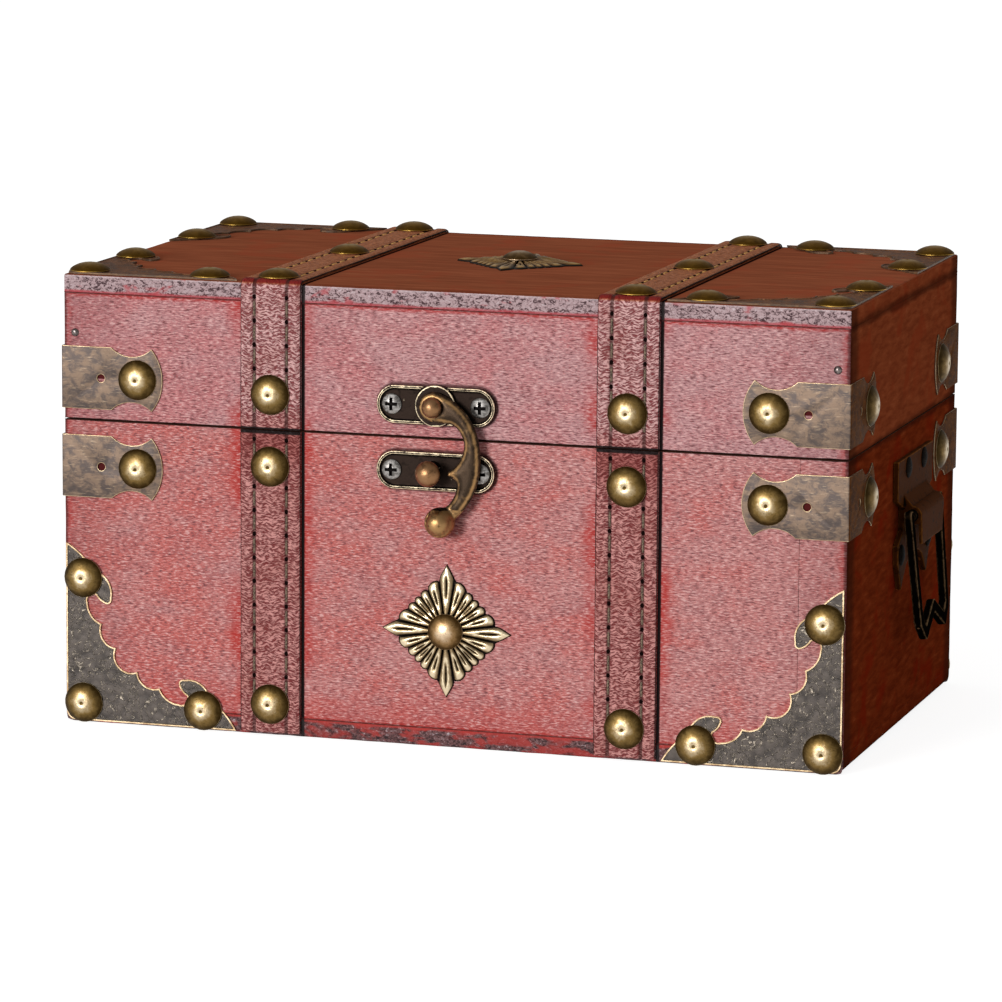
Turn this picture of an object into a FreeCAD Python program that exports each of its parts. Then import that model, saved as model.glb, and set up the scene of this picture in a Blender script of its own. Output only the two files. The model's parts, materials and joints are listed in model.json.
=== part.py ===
import FreeCAD, Part
import math
import os
import re
import Sketcher
from types import SimpleNamespace
from FreeCAD import Placement, Rotation, Vector

# Wooden treasure chest box with leather straps, bronze trim, a swing latch and two drop handles.
# Origin at the middle of the underside, front towards -Y, +Z up, millimetres.

DIMENSIONS = [
    ("box_width", 220, "wooden box, left to right"),
    ("box_depth", 130, "wooden box, front to back"),
    ("base_height", 84, "underside to the rim of the base"),
    ("lid_height", 40, "rim of the base to the top of the lid"),
    ("wall", 9, "thickness of the wall panels and lid rails, between top and bottom panels"),
    ("top_panel", 5, "thickness of the top panel"),
    ("bottom_panel", 5, "thickness of the bottom panel"),
    ("seam_gap", 0.4, "open line between base and lid"),
    ("overrun", 1, "how far a cutting shape passes the face that it cuts"),
    ("nail_clearance", 0.05, "room round a shank in its hole"),
    ("tip_gap", 0.3, "room past the tip of a shank in its hole"),
    ("running_clearance", 0.08, "radial room in a pivot"),
    ("strap_width", 17.4, "leather strap, across"),
    ("strap_thickness", 1.1, "leather strap, thick"),
    ("strap_gap", 1.4, "tip of a corner plate to the strap beside it"),
    ("strap_foot", 1, "underside of the box to the lower end of a strap"),
    ("strap_bend", 2.4, "outer radius of a strap where it goes over the lid"),
    ("strap_seam_nail", 9.8, "seam to the nail of a strap beside it"),
    ("strap_foot_nail", 8.8, "underside of the box to the lowest nail of a strap"),
    ("strap_edge_nail", 6, "edge of the top to the first nail of a strap on it"),
    ("stud_head", 5.5, "radius of a domed nail's head"),
    ("stud_rim", 0.3, "straight rim of a domed nail's head"),
    ("stud_rise", 2, "height of a domed nail's dome"),
    ("stud_shank", 0.7, "radius of a domed nail's shank"),
    ("stud_skin", 0.6, "wood left under a domed nail's hole in the top panel"),
    ("corner_reach", 49.3, "corner plate, from its corner to a tip"),
    ("corner_thickness", 0.5, "thickness of a corner plate"),
    ("corner_inset", 0.6, "edge of the box to the edge of a corner plate"),
    ("corner_nail", 5.6, "edges of the box to the nail in the corner of a plate"),
    ("corner_tip_back", 9.5, "tip of a corner plate back to the nail near it"),
    ("corner_edge_nail", 5.6, "edge of the box to a nail near a tip"),
    ("clip_leg", 28.8, "corner clip, from the edge of the box to its end"),
    ("clip_height", 17.2, "corner clip, bottom to top"),
    ("clip_thickness", 0.5, "thickness of a corner clip"),
    ("clip_nail_back", 7.2, "end of a clip back to its nail"),
    ("clip_hole", 11, "edge of the box to the spare hole of a clip"),
    ("clip_hole_radius", 1.1, "radius of the spare hole of a clip"),
    ("clip_above", 11.8, "seam to the middle of a clip on the lid"),
    ("clip_below", 12.6, "seam to the middle of a clip on the base"),
    ("rosette_reach", 18.2, "star rosette, middle to a point"),
    ("rosette_hub", 5.2, "radius of the flat middle of a rosette"),
    ("rosette_thickness", 1.4, "height of the middle of a rosette"),
    ("rosette_edge", 0.8, "height of a rosette's ridges at their ends"),
    ("rosette_groove", 0.35, "height of a rosette's grooves at their ends"),
    ("boss_head", 4.9, "radius of the head of a rosette's nail"),
    ("boss_rim", 0.3, "straight rim of the head of a rosette's nail"),
    ("boss_rise", 1.9, "dome of a rosette's nail"),
    ("boss_shank", 0.8, "radius of the shank of a rosette's nail"),
    ("boss_skin", 0.7, "wood left under the hole of a rosette's nail in the top panel"),
    ("latch_across", -3, "middle of the box to the middle of the latch, to the right"),
    ("latch_above", 9.2, "seam to the pivot of the latch"),
    ("catch_below", 8.6, "seam to the middle of the catch plate"),
    ("latch_length", 33, "latch and catch plates, end to end"),
    ("latch_width", 10.3, "latch and catch plates, across"),
    ("latch_floor", 1.1, "thickness of the floor of the latch and catch plates"),
    ("latch_rim_rise", 0.7, "height of the rim above the floor"),
    ("latch_rim", 0.8, "width of the rim"),
    ("latch_boss", 5.6, "radius of the round boss under the hook"),
    ("latch_boss_rise", 1.2, "height of that boss above the floor"),
    ("latch_screw_end", 4.1, "end of a latch or catch plate to its screw"),
    ("screw_head", 2.75, "radius of a latch screw's head"),
    ("screw_rim", 0.4, "straight rim of a latch screw's head"),
    ("screw_rise", 0.8, "dome of a latch screw's head"),
    ("screw_shank", 1.1, "radius of a latch screw's shank"),
    ("screw_skin", 2.8, "wood left behind a latch screw's hole"),
    ("cross_length", 3.4, "arm to arm of the cross in a screw's head"),
    ("cross_width", 0.9, "width of the cross in a screw's head"),
    ("cross_depth", 0.9, "depth of the cross in a screw's head"),
    ("pivot_radius", 1.6, "radius of the latch pivot's shaft"),
    ("pivot_head", 2.8, "radius of the latch pivot's head"),
    ("pivot_rim", 0.4, "straight rim of the latch pivot's head"),
    ("pivot_rise", 2, "dome of the latch pivot's head"),
    ("hook_lift", 0.2, "gap between the boss and the hook, and the hook and the pivot's head"),
    ("hook_thickness", 2.4, "thickness of the latch hook"),
    ("hook_eye", 4.1, "radius of the hook's eye"),
    ("hook_reach", 13, "pivot to the outside of the hook's bow"),
    ("hook_drop", 31, "pivot down to the middle of the hook's ball"),
    ("ball_radius", 4.2, "radius of the ball on the hook"),
    ("ball_lift", 2, "back of the hook to the middle of its ball"),
    ("post_side", -0.8, "pivot to the catch post, to the right"),
    ("post_radius", 2.6, "radius of the catch post's stem"),
    ("post_gap", 0.8, "front of the hook to the head of the post"),
    ("post_head", 3.5, "radius of the catch post's head"),
    ("post_rim", 0.5, "straight rim of the catch post's head"),
    ("post_rise", 2.2, "dome of the catch post's head"),
    ("notch_start", 0.5, "middle of the post to the blind end of its notch"),
    ("notch_height", 3.4, "height of the notch for the hook's beak"),
    ("notch_drop", 0.5, "middle of the post down to the middle of its notch"),
    ("handle_gap", 7.2, "end of a back clip to the handle plate beside it"),
    ("handle_drop", 23.5, "seam to the pivot of a handle"),
    ("handle_width", 42, "handle plate, across"),
    ("handle_above", 15.5, "pivot to the top of the handle plate"),
    ("handle_below", 20.5, "pivot to the lower points of the handle plate"),
    ("handle_thickness", 1.6, "thickness of the handle plate"),
    ("loop_length", 28, "rolled loop of the handle plate, along its axis"),
    ("loop_wall", 1, "sheet thickness of the rolled loop"),
    ("loop_out", 4, "side of the box to the pivot of a handle"),
    ("loop_root", 7.5, "pivot up to where the loop leaves its plate"),
    ("flap_drop", 8, "pivot down to the edge of the flap on the loop"),
    ("rivet_head", 2.9, "radius of a handle rivet's head"),
    ("rivet_rim", 0.3, "straight rim of a handle rivet's head"),
    ("rivet_rise", 0.7, "dome of a handle rivet's head"),
    ("rivet_shank", 1, "radius of a handle rivet's shank"),
    ("rivet_skin", 3.3, "wood left behind a handle rivet's hole"),
    ("bail_rod", 1.6, "radius of the round top bar of a bail"),
    ("bail_gap", 2.3, "end of the rolled loop to the leg of a bail"),
    ("bail_drop", 34, "pivot to the lower points of a bail"),
    ("bail_bar", 3.4, "width of a bail's bar"),
    ("bail_thickness", 2.2, "thickness of a bail's bar"),
    ("bail_lean", 5.5, "lean of a hanging bail away from the side, in degrees"),
    ("hinge_gap", 3, "inner edge of a strap to the hinge beside it"),
    ("hinge_length", 18, "hinge, along its pin"),
    ("leaf_height", 11, "hinge pin to the edge of a leaf"),
    ("leaf_thickness", 0.9, "thickness of a hinge leaf"),
    ("knuckle_radius", 1.9, "outer radius of a hinge knuckle"),
    ("knuckle_gap", 0.3, "room between neighbouring knuckles"),
    ("pin_radius", 0.9, "radius of a hinge pin"),
    ("pin_head", 1.5, "radius of a hinge pin's head"),
    ("pin_cap", 0.8, "height of a hinge pin's head"),
    ("tack_head", 1.7, "radius of a hinge nail's head"),
    ("tack_rim", 0.2, "straight rim of a hinge nail's head"),
    ("tack_rise", 0.8, "dome of a hinge nail's head"),
    ("tack_shank", 0.6, "radius of a hinge nail's shank"),
    ("tack_skin", 3.6, "wood left behind a hinge nail's hole"),
    ("tack_spacing", 10, "from nail to nail on a hinge leaf"),
    ("tack_drop", 7, "hinge pin to the nails of a leaf"),
    ("brad_head", 1.2, "radius of a brad's flush head"),
    ("brad_cap", 0.6, "thickness of a brad's flush head"),
    ("brad_shank", 0.6, "radius of a brad's shank"),
    ("brad_bite", 8, "length of a brad in the second wall"),
    ("brad_inset", 3.4, "side of the box to a brad"),
    ("base_brad", 24, "underside of the box to the brads of the base"),
    ("lid_brad", 24, "seam to the brads of the lid"),
]

# Half of a corner plate's inner edge, tip to middle, as arcs: a point passed, then the end.
CORNER_EDGE_SHARES = [
    ((0.091, 0.936), (0.165, 0.850)),
    ((0.246, 0.798), (0.266, 0.698)),
    ((0.262, 0.676), (0.240, 0.665)),
    ((0.202, 0.683), (0.177, 0.712)),
    ((0.139, 0.710), (0.125, 0.665)),
    ((0.145, 0.600), (0.208, 0.550)),
    ((0.214, 0.468), (0.292, 0.419)),
]
CORNER_MIDDLE_SHARE = 0.312

# A clip's leg: where its straight part ends, its notch, its horn, as shares of leg and height.
CLIP_STRAIGHT_SHARE = 0.486
CLIP_NOTCH_SHARES = (0.70, 0.365)
CLIP_HORN_SHARE = 0.889

# The hook's outline from the top of its eye, shares of its reach and of its drop, pivot at zero.
HOOK_OUTSIDE_SHARES = [
    ((0.60, 0.002), (0.946, -0.235)),
    ((1.015, -0.406), (0.962, -0.648)),
    ((0.785, -0.819), (0.462, -0.974)),
]
HOOK_BALL_SIDE_SHARES = (0.200, -0.890)
HOOK_INSIDE_SHARES = [
    ((0.415, -0.803), (0.515, -0.665)),
    ((0.460, -0.620), (0.300, -0.597)),
]
HOOK_BEAK_SHARES = (0.300, -0.561)
HOOK_CROOK_SHARES = [
    ((0.562, -0.461), (0.662, -0.342)),
    ((0.600, -0.223), (0.400, -0.145)),
]
HOOK_BALL_SHARE = 0.17

# Half of a handle plate's outline from its top edge, shares of its half width and of its reach
# above and below the pivot.
HANDLE_SIDE_SHARES = [(1.0, 1.0), (1.0, 0.30), (0.66, 0.12)]
HANDLE_LOBE_SHARES = [
    (0.66, -0.20), (0.96, -0.38), (0.94, -0.62),
    (0.74, -1.0), (0.46, -0.70), (0.20, -0.60),
]
HANDLE_UPPER_RIVET_SHARES = (0.45, 0.81)
HANDLE_LOWER_RIVET_SHARES = (0.78, -0.52)
FLAP_EDGE_SHARE = 0.9

# Half of a bail's middle line from its pivot, shares of its half width and of its drop.
BAIL_HALF_SHARES = [(1.0, 0.0), (0.87, 0.86), (0.64, 0.97)]
BAIL_MIDDLE_SHARE = 0.80

# The front rosette's height on the base, and the reach of its short ridges and of its grooves.
ROSETTE_UP_SHARE = 0.381
ROSETTE_RIDGES = 24
ROSETTE_SHORT_SHARE = 0.95
ROSETTE_GROOVE_SHARE = 0.87

doc = FreeCAD.newDocument("treasure_chest_box")
sheet = doc.addObject("Spreadsheet::Sheet", "sizes")
for row, (alias, number, meaning) in enumerate(DIMENSIONS, start=1):
    sheet.set(f"A{row}", meaning)
    sheet.set(f"B{row}", str(number))
    sheet.setAlias(f"B{row}", alias)
doc.recompute()

ALIASES = {alias for alias, _, _ in DIMENSIONS}
size = SimpleNamespace(**{alias: float(sheet.get(alias)) for alias in ALIASES})
nodes = []


def named(text):
    """A sum with every dimension's name pointing at its cell."""
    return re.sub(r"[a-z_]+", lambda word: f"sizes.{word[0]}" if word[0] in ALIASES else word[0], text)


def value(text):
    return float(sheet.evalExpression(named(text)))


def point(sums):
    return Vector(*[value(text) for text in sums])


def bind(thing, **sums):
    for prop, text in sums.items():
        thing.setExpression(prop, named(text))


def put(thing, sums):
    """Bind a thing's position to three sums."""
    for axis, text in zip("xyz", sums):
        thing.setExpression(f".Placement.Base.{axis}", named(text))


def node(thing, label):
    """Make a finished thing one of the pieces that are written."""
    thing.Label = label
    nodes.append(thing)
    return thing


def box(name, extent, corner):
    thing = doc.addObject("Part::Box", name)
    bind(thing, Length=extent[0], Width=extent[1], Height=extent[2])
    put(thing, corner)
    return thing


def rod(name, radius, length, start, turn):
    thing = doc.addObject("Part::Cylinder", name)
    thing.Placement = Placement(Vector(), turn)
    bind(thing, Radius=radius, Height=length)
    put(thing, start)
    return thing


def fuse(name, pieces):
    thing = doc.addObject("Part::MultiFuse", name)
    thing.Shapes = pieces
    thing.Refine = True
    return thing


def cut(name, blank, tools):
    """A blank less its cutting shapes, which lie apart from each other."""
    holes = doc.addObject("Part::Compound", f"{name}_cuts")
    holes.Links = tools
    thing = doc.addObject("Part::Cut", name)
    thing.Base = blank
    thing.Tool = holes
    return thing


def shaped(name, shape, place=Placement()):
    """A piece whose outline is worked out here, moved from where it was drawn."""
    thing = doc.addObject("Part::Feature", name)
    thing.Shape = shape
    thing.Placement = place.multiply(shape.Placement)
    return thing


def outline(start, steps):
    """A closed wire: a step is the end of a line, or the pair of points that an arc passes and ends at."""
    edges = []
    here = start
    for step in steps:
        if isinstance(step, tuple):
            passed, end = step
            edges.append(Part.Arc(here, passed, end).toShape())
        else:
            end = step
            edges.append(Part.LineSegment(here, end).toShape())
        here = end
    if (here - start).Length > 0:
        edges.append(Part.LineSegment(here, start).toShape())
    return Part.Wire(edges)


# Faces of the box: the turn that points a piece outwards, and a place on the face.
RIGHT_ANGLE = 90
FULL_TURN = 360
OUTWARD = {
    "front": Rotation(Vector(1, 0, 0), RIGHT_ANGLE),
    "back": Rotation(Vector(1, 0, 0), -RIGHT_ANGLE),
    "left": Rotation(Vector(0, 1, 0), -RIGHT_ANGLE),
    "right": Rotation(Vector(0, 1, 0), RIGHT_ANGLE),
    "top": Rotation(),
}
ALONG = Rotation(Vector(0, 1, 0), RIGHT_ANGLE)


def on_face(face, across, up, out="0"):
    """Three sums for a place on a face, moved outwards."""
    places = {
        "front": (across, f"-box_depth / 2 - ({out})", up),
        "back": (across, f"box_depth / 2 + ({out})", up),
        "left": (f"-box_width / 2 - ({out})", across, up),
        "right": (f"box_width / 2 + ({out})", across, up),
        "top": (across, up, f"base_height + lid_height + ({out})"),
    }
    return places[face]


# Fasteners

def dome(bottom, radius, rise):
    """The arc of a dome's profile, from its rim to its middle."""
    ball = (radius**2 + rise**2) / (2 * rise)
    half = math.asin(radius / ball) / 2
    passed = Vector(ball * math.sin(half), 0, bottom + rise - ball + ball * math.cos(half))
    return passed, Vector(0, 0, bottom + rise)


def headed(head, rim, rise, shank, length):
    """A domed head on a shank, turned about Z, with the seat of the head at zero."""
    start = Vector(0, 0, -length)
    steps = [Vector(shank, 0, -length), Vector(shank, 0, 0), Vector(head, 0, 0), Vector(head, 0, rim)]
    profile = Part.Face(outline(start, steps + [dome(rim, head, rise)]))
    return profile.revolve(Vector(), Vector(0, 0, 1), FULL_TURN)


# The length of each kind of shank, from its seat to its tip.
SHANK_LENGTH = {
    "stud": "(top_panel + corner_thickness - tip_gap - stud_skin)",
    "boss": "(top_panel + rosette_thickness - tip_gap - boss_skin)",
    "screw": "(wall + latch_floor - tip_gap - screw_skin)",
    "rivet": "(wall + handle_thickness - tip_gap - rivet_skin)",
    "tack": "(wall + leaf_thickness - tip_gap - tack_skin)",
    "brad": "(wall + brad_bite)",
}


def fastener_shape(kind):
    measures = [getattr(size, f"{kind}_{part}") for part in ("head", "rim", "rise", "shank")]
    return headed(*measures, value(SHANK_LENGTH[kind]))


def fastener(kind, face, across, up, seat):
    """One nail or screw: its place, and the hole that it takes through its seat into the wood."""
    depth = f"{SHANK_LENGTH[kind]} - ({seat}) + tip_gap"
    length = f"{SHANK_LENGTH[kind]} + tip_gap + overrun"
    start = on_face(face, across, up, f"-({depth})")
    hole = rod(f"{kind}_hole", f"{kind}_shank + nail_clearance", length, start, OUTWARD[face])
    place = Placement(point(on_face(face, across, up, seat)), OUTWARD[face])
    return SimpleNamespace(hole=hole, place=place)


def holes(fasteners):
    return [item.hole for item in fasteners]


def fastener_group(label, shape, fasteners):
    """All fasteners of one kind on one body, as separate solids."""
    copies = []
    for item in fasteners:
        copy = shape.copy()
        copy.Placement = item.place
        copies.append(copy)
    return node(shaped(label, Part.makeCompound(copies)), label)


SIDES = {"left": "-1", "right": "1"}
DEPTHS = {"front": "-1", "back": "1"}
LID_FOOT = "(base_height + seam_gap)"
STRAP_EDGE = "(box_width / 2 - corner_inset - corner_reach - strap_gap)"
STRAP_ACROSS = f"({STRAP_EDGE} - strap_width / 2)"

# Strap nails
strap_nails = {}
for side, sign in SIDES.items():
    across = f"{sign} * {STRAP_ACROSS}"
    for face in DEPTHS:
        seam_nail = fastener("stud", face, across, "base_height - strap_seam_nail", "strap_thickness")
        foot_nail = fastener("stud", face, across, "strap_foot_nail", "strap_thickness")
        lid_nail = fastener("stud", face, across, "base_height + strap_seam_nail", "strap_thickness")
        strap_nails["base", face, side] = [seam_nail, foot_nail]
        strap_nails["lid", face, side] = [lid_nail]
    strap_nails["lid", "top", side] = []
    for along in ("-box_depth / 2 + strap_edge_nail", "0", "box_depth / 2 - strap_edge_nail"):
        strap_nails["lid", "top", side].append(fastener("stud", "top", across, along, "strap_thickness"))

# Clip nails, one on each leg of a clip
clip_nails = {}
clip_up = {"base": "base_height - clip_below", "lid": "base_height + clip_above"}
for body, up in clip_up.items():
    for face, depth_sign in DEPTHS.items():
        for side, sign in SIDES.items():
            across = f"{sign} * (box_width / 2 - clip_leg + clip_nail_back)"
            along = f"{depth_sign} * (box_depth / 2 - clip_leg + clip_nail_back)"
            clip_nails[body, face, side] = {
                face: fastener("stud", face, across, up, "clip_thickness"),
                side: fastener("stud", side, along, up, "clip_thickness"),
            }

# Corner plate nails: one in the corner, one near each tip
CORNER_TIP_NAIL = "(corner_inset + corner_reach - corner_tip_back)"
CORNER_NAIL_GAPS = [
    ("corner_nail", "corner_nail"),
    (CORNER_TIP_NAIL, "corner_edge_nail"),
    ("corner_edge_nail", CORNER_TIP_NAIL),
]
corner_nails = {}
for face, depth_sign in DEPTHS.items():
    for side, sign in SIDES.items():
        gaps = ("corner_nail", CORNER_TIP_NAIL, "corner_edge_nail")
        inset = {gap: f"{sign} * (box_width / 2 - {gap})" for gap in gaps}
        rise = {gap: gap for gap in gaps}
        along = {gap: f"{depth_sign} * (box_depth / 2 - {gap})" for gap in gaps}
        for body, where, second in (("base", face, rise), ("lid", "top", along)):
            corner_nails[body, face, side] = []
            for across, up in CORNER_NAIL_GAPS:
                nail = fastener("stud", where, inset[across], second[up], "corner_thickness")
                corner_nails[body, face, side].append(nail)

# Nails through the two rosettes
ROSETTE_UP = f"{ROSETTE_UP_SHARE} * base_height"
boss_nails = {
    "base": fastener("boss", "front", "0", ROSETTE_UP, "rosette_thickness"),
    "lid": fastener("boss", "top", "0", "0", "rosette_thickness"),
}

# Latch screws
LATCH_UP = "(base_height + latch_above)"
CATCH_UP = "(base_height - catch_below)"
latch_screws = {"base": [], "lid": []}
for body, up in (("base", CATCH_UP), ("lid", LATCH_UP)):
    for sign in SIDES.values():
        across = f"latch_across + {sign} * (latch_length / 2 - latch_screw_end)"
        latch_screws[body].append(fastener("screw", "front", across, up, "latch_floor"))

# Handle rivets
HANDLE_ACROSS = "(box_depth / 2 - clip_leg - handle_gap - handle_width / 2)"
HANDLE_UP = "(base_height - handle_drop)"
handle_rivets = {side: [] for side in SIDES}
for side in SIDES:
    for sign in SIDES.values():
        for (across_share, up_share), reach in (
            (HANDLE_UPPER_RIVET_SHARES, "handle_above"),
            (HANDLE_LOWER_RIVET_SHARES, "handle_below"),
        ):
            across = f"{HANDLE_ACROSS} + {sign} * {across_share} * handle_width / 2"
            up = f"{HANDLE_UP} + {up_share} * {reach}"
            handle_rivets[side].append(fastener("rivet", side, across, up, "handle_thickness"))

# Hinge nails
hinge_tacks = {}
HINGE_UP = "(base_height + seam_gap / 2)"
HINGE_OUT = "(knuckle_radius + knuckle_gap)"
HINGE_ACROSS = f"({STRAP_EDGE} - strap_width - hinge_gap - hinge_length / 2)"
for body, up in (("base", f"{HINGE_UP} - tack_drop"), ("lid", f"{HINGE_UP} + tack_drop")):
    for side, sign in SIDES.items():
        hinge_tacks[body, side] = []
        for end in SIDES.values():
            across = f"{sign} * {HINGE_ACROSS} + {end} * tack_spacing / 2"
            hinge_tacks[body, side].append(fastener("tack", "back", across, up, "leaf_thickness"))

# Brads through the front and back walls into the side walls
brads = {}
brad_up = {"base": "base_brad", "lid": "base_height + lid_brad"}
for body, up in brad_up.items():
    for face in DEPTHS:
        for side, sign in SIDES.items():
            across = f"{sign} * (box_width / 2 - brad_inset)"
            shank = fastener("brad", face, across, up, "0")
            start = on_face(face, across, up, "-brad_cap")
            radius, length = "brad_head + nail_clearance", "brad_cap + overrun"
            sink = rod("brad_sink", radius, length, start, OUTWARD[face])
            way = fuse("brad_way", [shank.hole, sink])
            brads[body, face, side] = SimpleNamespace(hole=way, place=shank.place)


# Wooden panels

def wall_panels(body, foot, height):
    """The four walls of the base or of the lid, the side walls between the others."""
    inner_depth = "box_depth - 2 * wall"
    extents = {"front": ("box_width", "wall", height), "left": ("wall", inner_depth, height)}
    corners = {
        "front": ("-box_width / 2", "-box_depth / 2", foot),
        "back": ("-box_width / 2", "box_depth / 2 - wall", foot),
        "left": ("-box_width / 2", "-box_depth / 2 + wall", foot),
        "right": ("box_width / 2 - wall", "-box_depth / 2 + wall", foot),
    }
    kind = {"base": "panel", "lid": "rail"}[body]
    for face, corner in corners.items():
        label = f"{body}_{face}_{kind}"
        extent = extents["front" if face in DEPTHS else "left"]
        blank = box(f"{label}_blank", extent, corner)
        node(cut(label, blank, wall_holes(body, face)), label)


def wall_holes(body, face):
    """Every hole in one wall."""
    found = []
    if face in DEPTHS:
        for side in SIDES:
            found += holes(strap_nails[body, face, side])
            found.append(clip_nails[body, face, side][face].hole)
            found.append(brads[body, face, side].hole)
            if body == "base":
                found += holes(corner_nails[body, face, side])
            if face == "back":
                found += holes(hinge_tacks[body, side])
        if face == "front":
            found += holes(latch_screws[body])
        if face == "front" and body == "base":
            found.append(boss_nails[body].hole)
        return found
    for end in DEPTHS:
        found.append(clip_nails[body, end, face][face].hole)
        found.append(brads[body, end, face].hole)
    if body == "base":
        found += holes(handle_rivets[face])
    return found


wall_panels("base", "bottom_panel", "base_height - bottom_panel")
wall_panels("lid", LID_FOOT, "lid_height - top_panel - seam_gap")

bottom_extent = ("box_width", "box_depth", "bottom_panel")
bottom_blank = box("base_bottom_panel_blank", bottom_extent, ("-box_width / 2", "-box_depth / 2", "0"))
bottom_holes = []
for side in SIDES:
    for face in DEPTHS:
        bottom_holes += holes(corner_nails["base", face, side])
node(cut("base_bottom_panel", bottom_blank, bottom_holes), "base_bottom_panel")

top_extent = ("box_width", "box_depth", "top_panel")
top_corner = ("-box_width / 2", "-box_depth / 2", "base_height + lid_height - top_panel")
top_blank = box("lid_top_panel_blank", top_extent, top_corner)
top_holes = [boss_nails["lid"].hole]
for side in SIDES:
    top_holes += holes(strap_nails["lid", "top", side])
    for face in DEPTHS:
        top_holes += holes(corner_nails["lid", face, side])
node(cut("lid_top_panel", top_blank, top_holes), "lid_top_panel")


# Leather straps

def base_strap(face, side):
    label = f"base_strap_{face}_{side}"
    extent = ("strap_width", "strap_thickness", "base_height - strap_foot")
    inner = "strap_thickness" if face == "front" else "0"
    across = f"{SIDES[side]} * {STRAP_ACROSS} - strap_width / 2"
    corner = (across, on_face(face, "0", "0", inner)[1], "strap_foot")
    blank = box(f"{label}_blank", extent, corner)
    node(cut(label, blank, holes(strap_nails["base", face, side])), label)


def lid_strap(side):
    """One strap down the front of the lid, over its top and down its back, drawn from the side."""
    label = f"lid_strap_{side}"
    body = doc.addObject("PartDesign::Body", f"{label}_body")
    sketch = body.newObject("Sketcher::SketchObject", f"{label}_profile")
    planes = {plane.Role: plane for plane in body.Origin.OriginFeatures}
    sketch.AttachmentSupport = [(planes["YZ_Plane"], "")]
    sketch.MapMode = "FlatFace"
    near, far = "box_depth / 2", "(box_depth / 2 + strap_thickness)"
    low, high = LID_FOOT, "base_height + lid_height"
    upper = f"{high} + strap_thickness"
    corners = [(f"-{far}", low), (f"-{far}", upper), (far, upper), (far, low)]
    corners += [(near, low), (near, high), (f"-{near}", high), (f"-{near}", low)]
    ends = [Vector(value(across), value(up), 0) for across, up in corners]
    following = list(range(1, len(ends))) + [0]
    for index, after in enumerate(following):
        sketch.addGeometry(Part.LineSegment(ends[index], ends[after]))
    for index, after in enumerate(following):
        sketch.addConstraint(Sketcher.Constraint("Coincident", index, 2, after, 1))
    for index, sums in enumerate(corners):
        for kind, text in zip(("DistanceX", "DistanceY"), sums):
            number = sketch.addConstraint(Sketcher.Constraint(kind, -1, 1, index, 1, value(text)))
            sketch.setExpression(f"Constraints[{number}]", named(text))
    pad = body.newObject("PartDesign::Pad", f"{label}_pad")
    pad.Profile = sketch
    pad.Midplane = True
    bind(pad, Length="strap_width")
    doc.recompute()
    bends = body.newObject("PartDesign::Fillet", f"{label}_bends")
    bends.Base = (pad, outer_bends(pad.Shape, value(far), value(upper)))
    bind(bends, Radius="strap_bend")
    put(body, (f"{SIDES[side]} * {STRAP_ACROSS}", "0", "0"))
    nails = []
    for face in ("front", "top", "back"):
        nails += strap_nails["lid", face, side]
    node(cut(label, body, holes(nails)), label)


def outer_bends(shape, far, upper):
    """The names of a strap's two outer edges at the front and the back of the top."""
    names = []
    for number, edge in enumerate(shape.Edges, start=1):
        middle = edge.CenterOfMass
        if math.isclose(abs(middle.y), far) and math.isclose(middle.z, upper):
            names.append(f"Edge{number}")
    return names


for side in SIDES:
    for face in DEPTHS:
        base_strap(face, side)
    lid_strap(side)


# Corner plates and clips, made once and turned to each corner

CORNER_TURNS = {("front", "left"): 0, ("front", "right"): 1, ("back", "right"): 2, ("back", "left"): 3}


def corner_turn(face, side, first):
    """A turn about Z in right angles, counted from the corner that a shape is drawn for."""
    return Rotation(Vector(0, 0, 1), RIGHT_ANGLE * (CORNER_TURNS[face, side] - CORNER_TURNS[first]))


def corner_plate_shape():
    """A corner plate on XY, its corner at the origin, its legs along X and Y, alike about the diagonal."""
    def at(shares):
        return Vector(shares[0] * size.corner_reach, shares[1] * size.corner_reach, 0)

    def swapped(shares):
        return at((shares[1], shares[0]))

    steps = [at((0, 1))]
    steps += [(at(passed), at(end)) for passed, end in CORNER_EDGE_SHARES]
    steps.append((at((CORNER_MIDDLE_SHARE, CORNER_MIDDLE_SHARE)), swapped(CORNER_EDGE_SHARES[-1][1])))
    earlier_ends = [(0, 1)] + [end for _, end in CORNER_EDGE_SHARES[:-1]]
    for (passed, _), end in reversed(list(zip(CORNER_EDGE_SHARES, earlier_ends))):
        steps.append((swapped(passed), swapped(end)))
    return Part.Face(outline(Vector(), steps)).extrude(Vector(0, 0, size.corner_thickness))


def clip_leg(along, out):
    """One leg of a clip from the box's edge, flat on the wall that it lies on."""
    def at(along_share, up_share):
        return along * (along_share * size.clip_leg) + Vector(0, 0, up_share * size.clip_height)

    notch, dip = CLIP_NOTCH_SHARES
    steps = [at(CLIP_STRAIGHT_SHARE, -1 / 2)]
    steps.append((at(notch, -dip), at(CLIP_HORN_SHARE, -1 / 2)))
    steps.append((at(1, 0), at(CLIP_HORN_SHARE, 1 / 2)))
    steps.append((at(notch, dip), at(CLIP_STRAIGHT_SHARE, 1 / 2)))
    steps.append(at(0, 1 / 2))
    leg = Part.Face(outline(at(0, -1 / 2), steps)).extrude(out * size.clip_thickness)
    start = along * size.clip_hole - out * size.overrun
    reach = size.clip_thickness + 2 * size.overrun
    return leg.cut(Part.makeCylinder(size.clip_hole_radius, reach, start, out))


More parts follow.
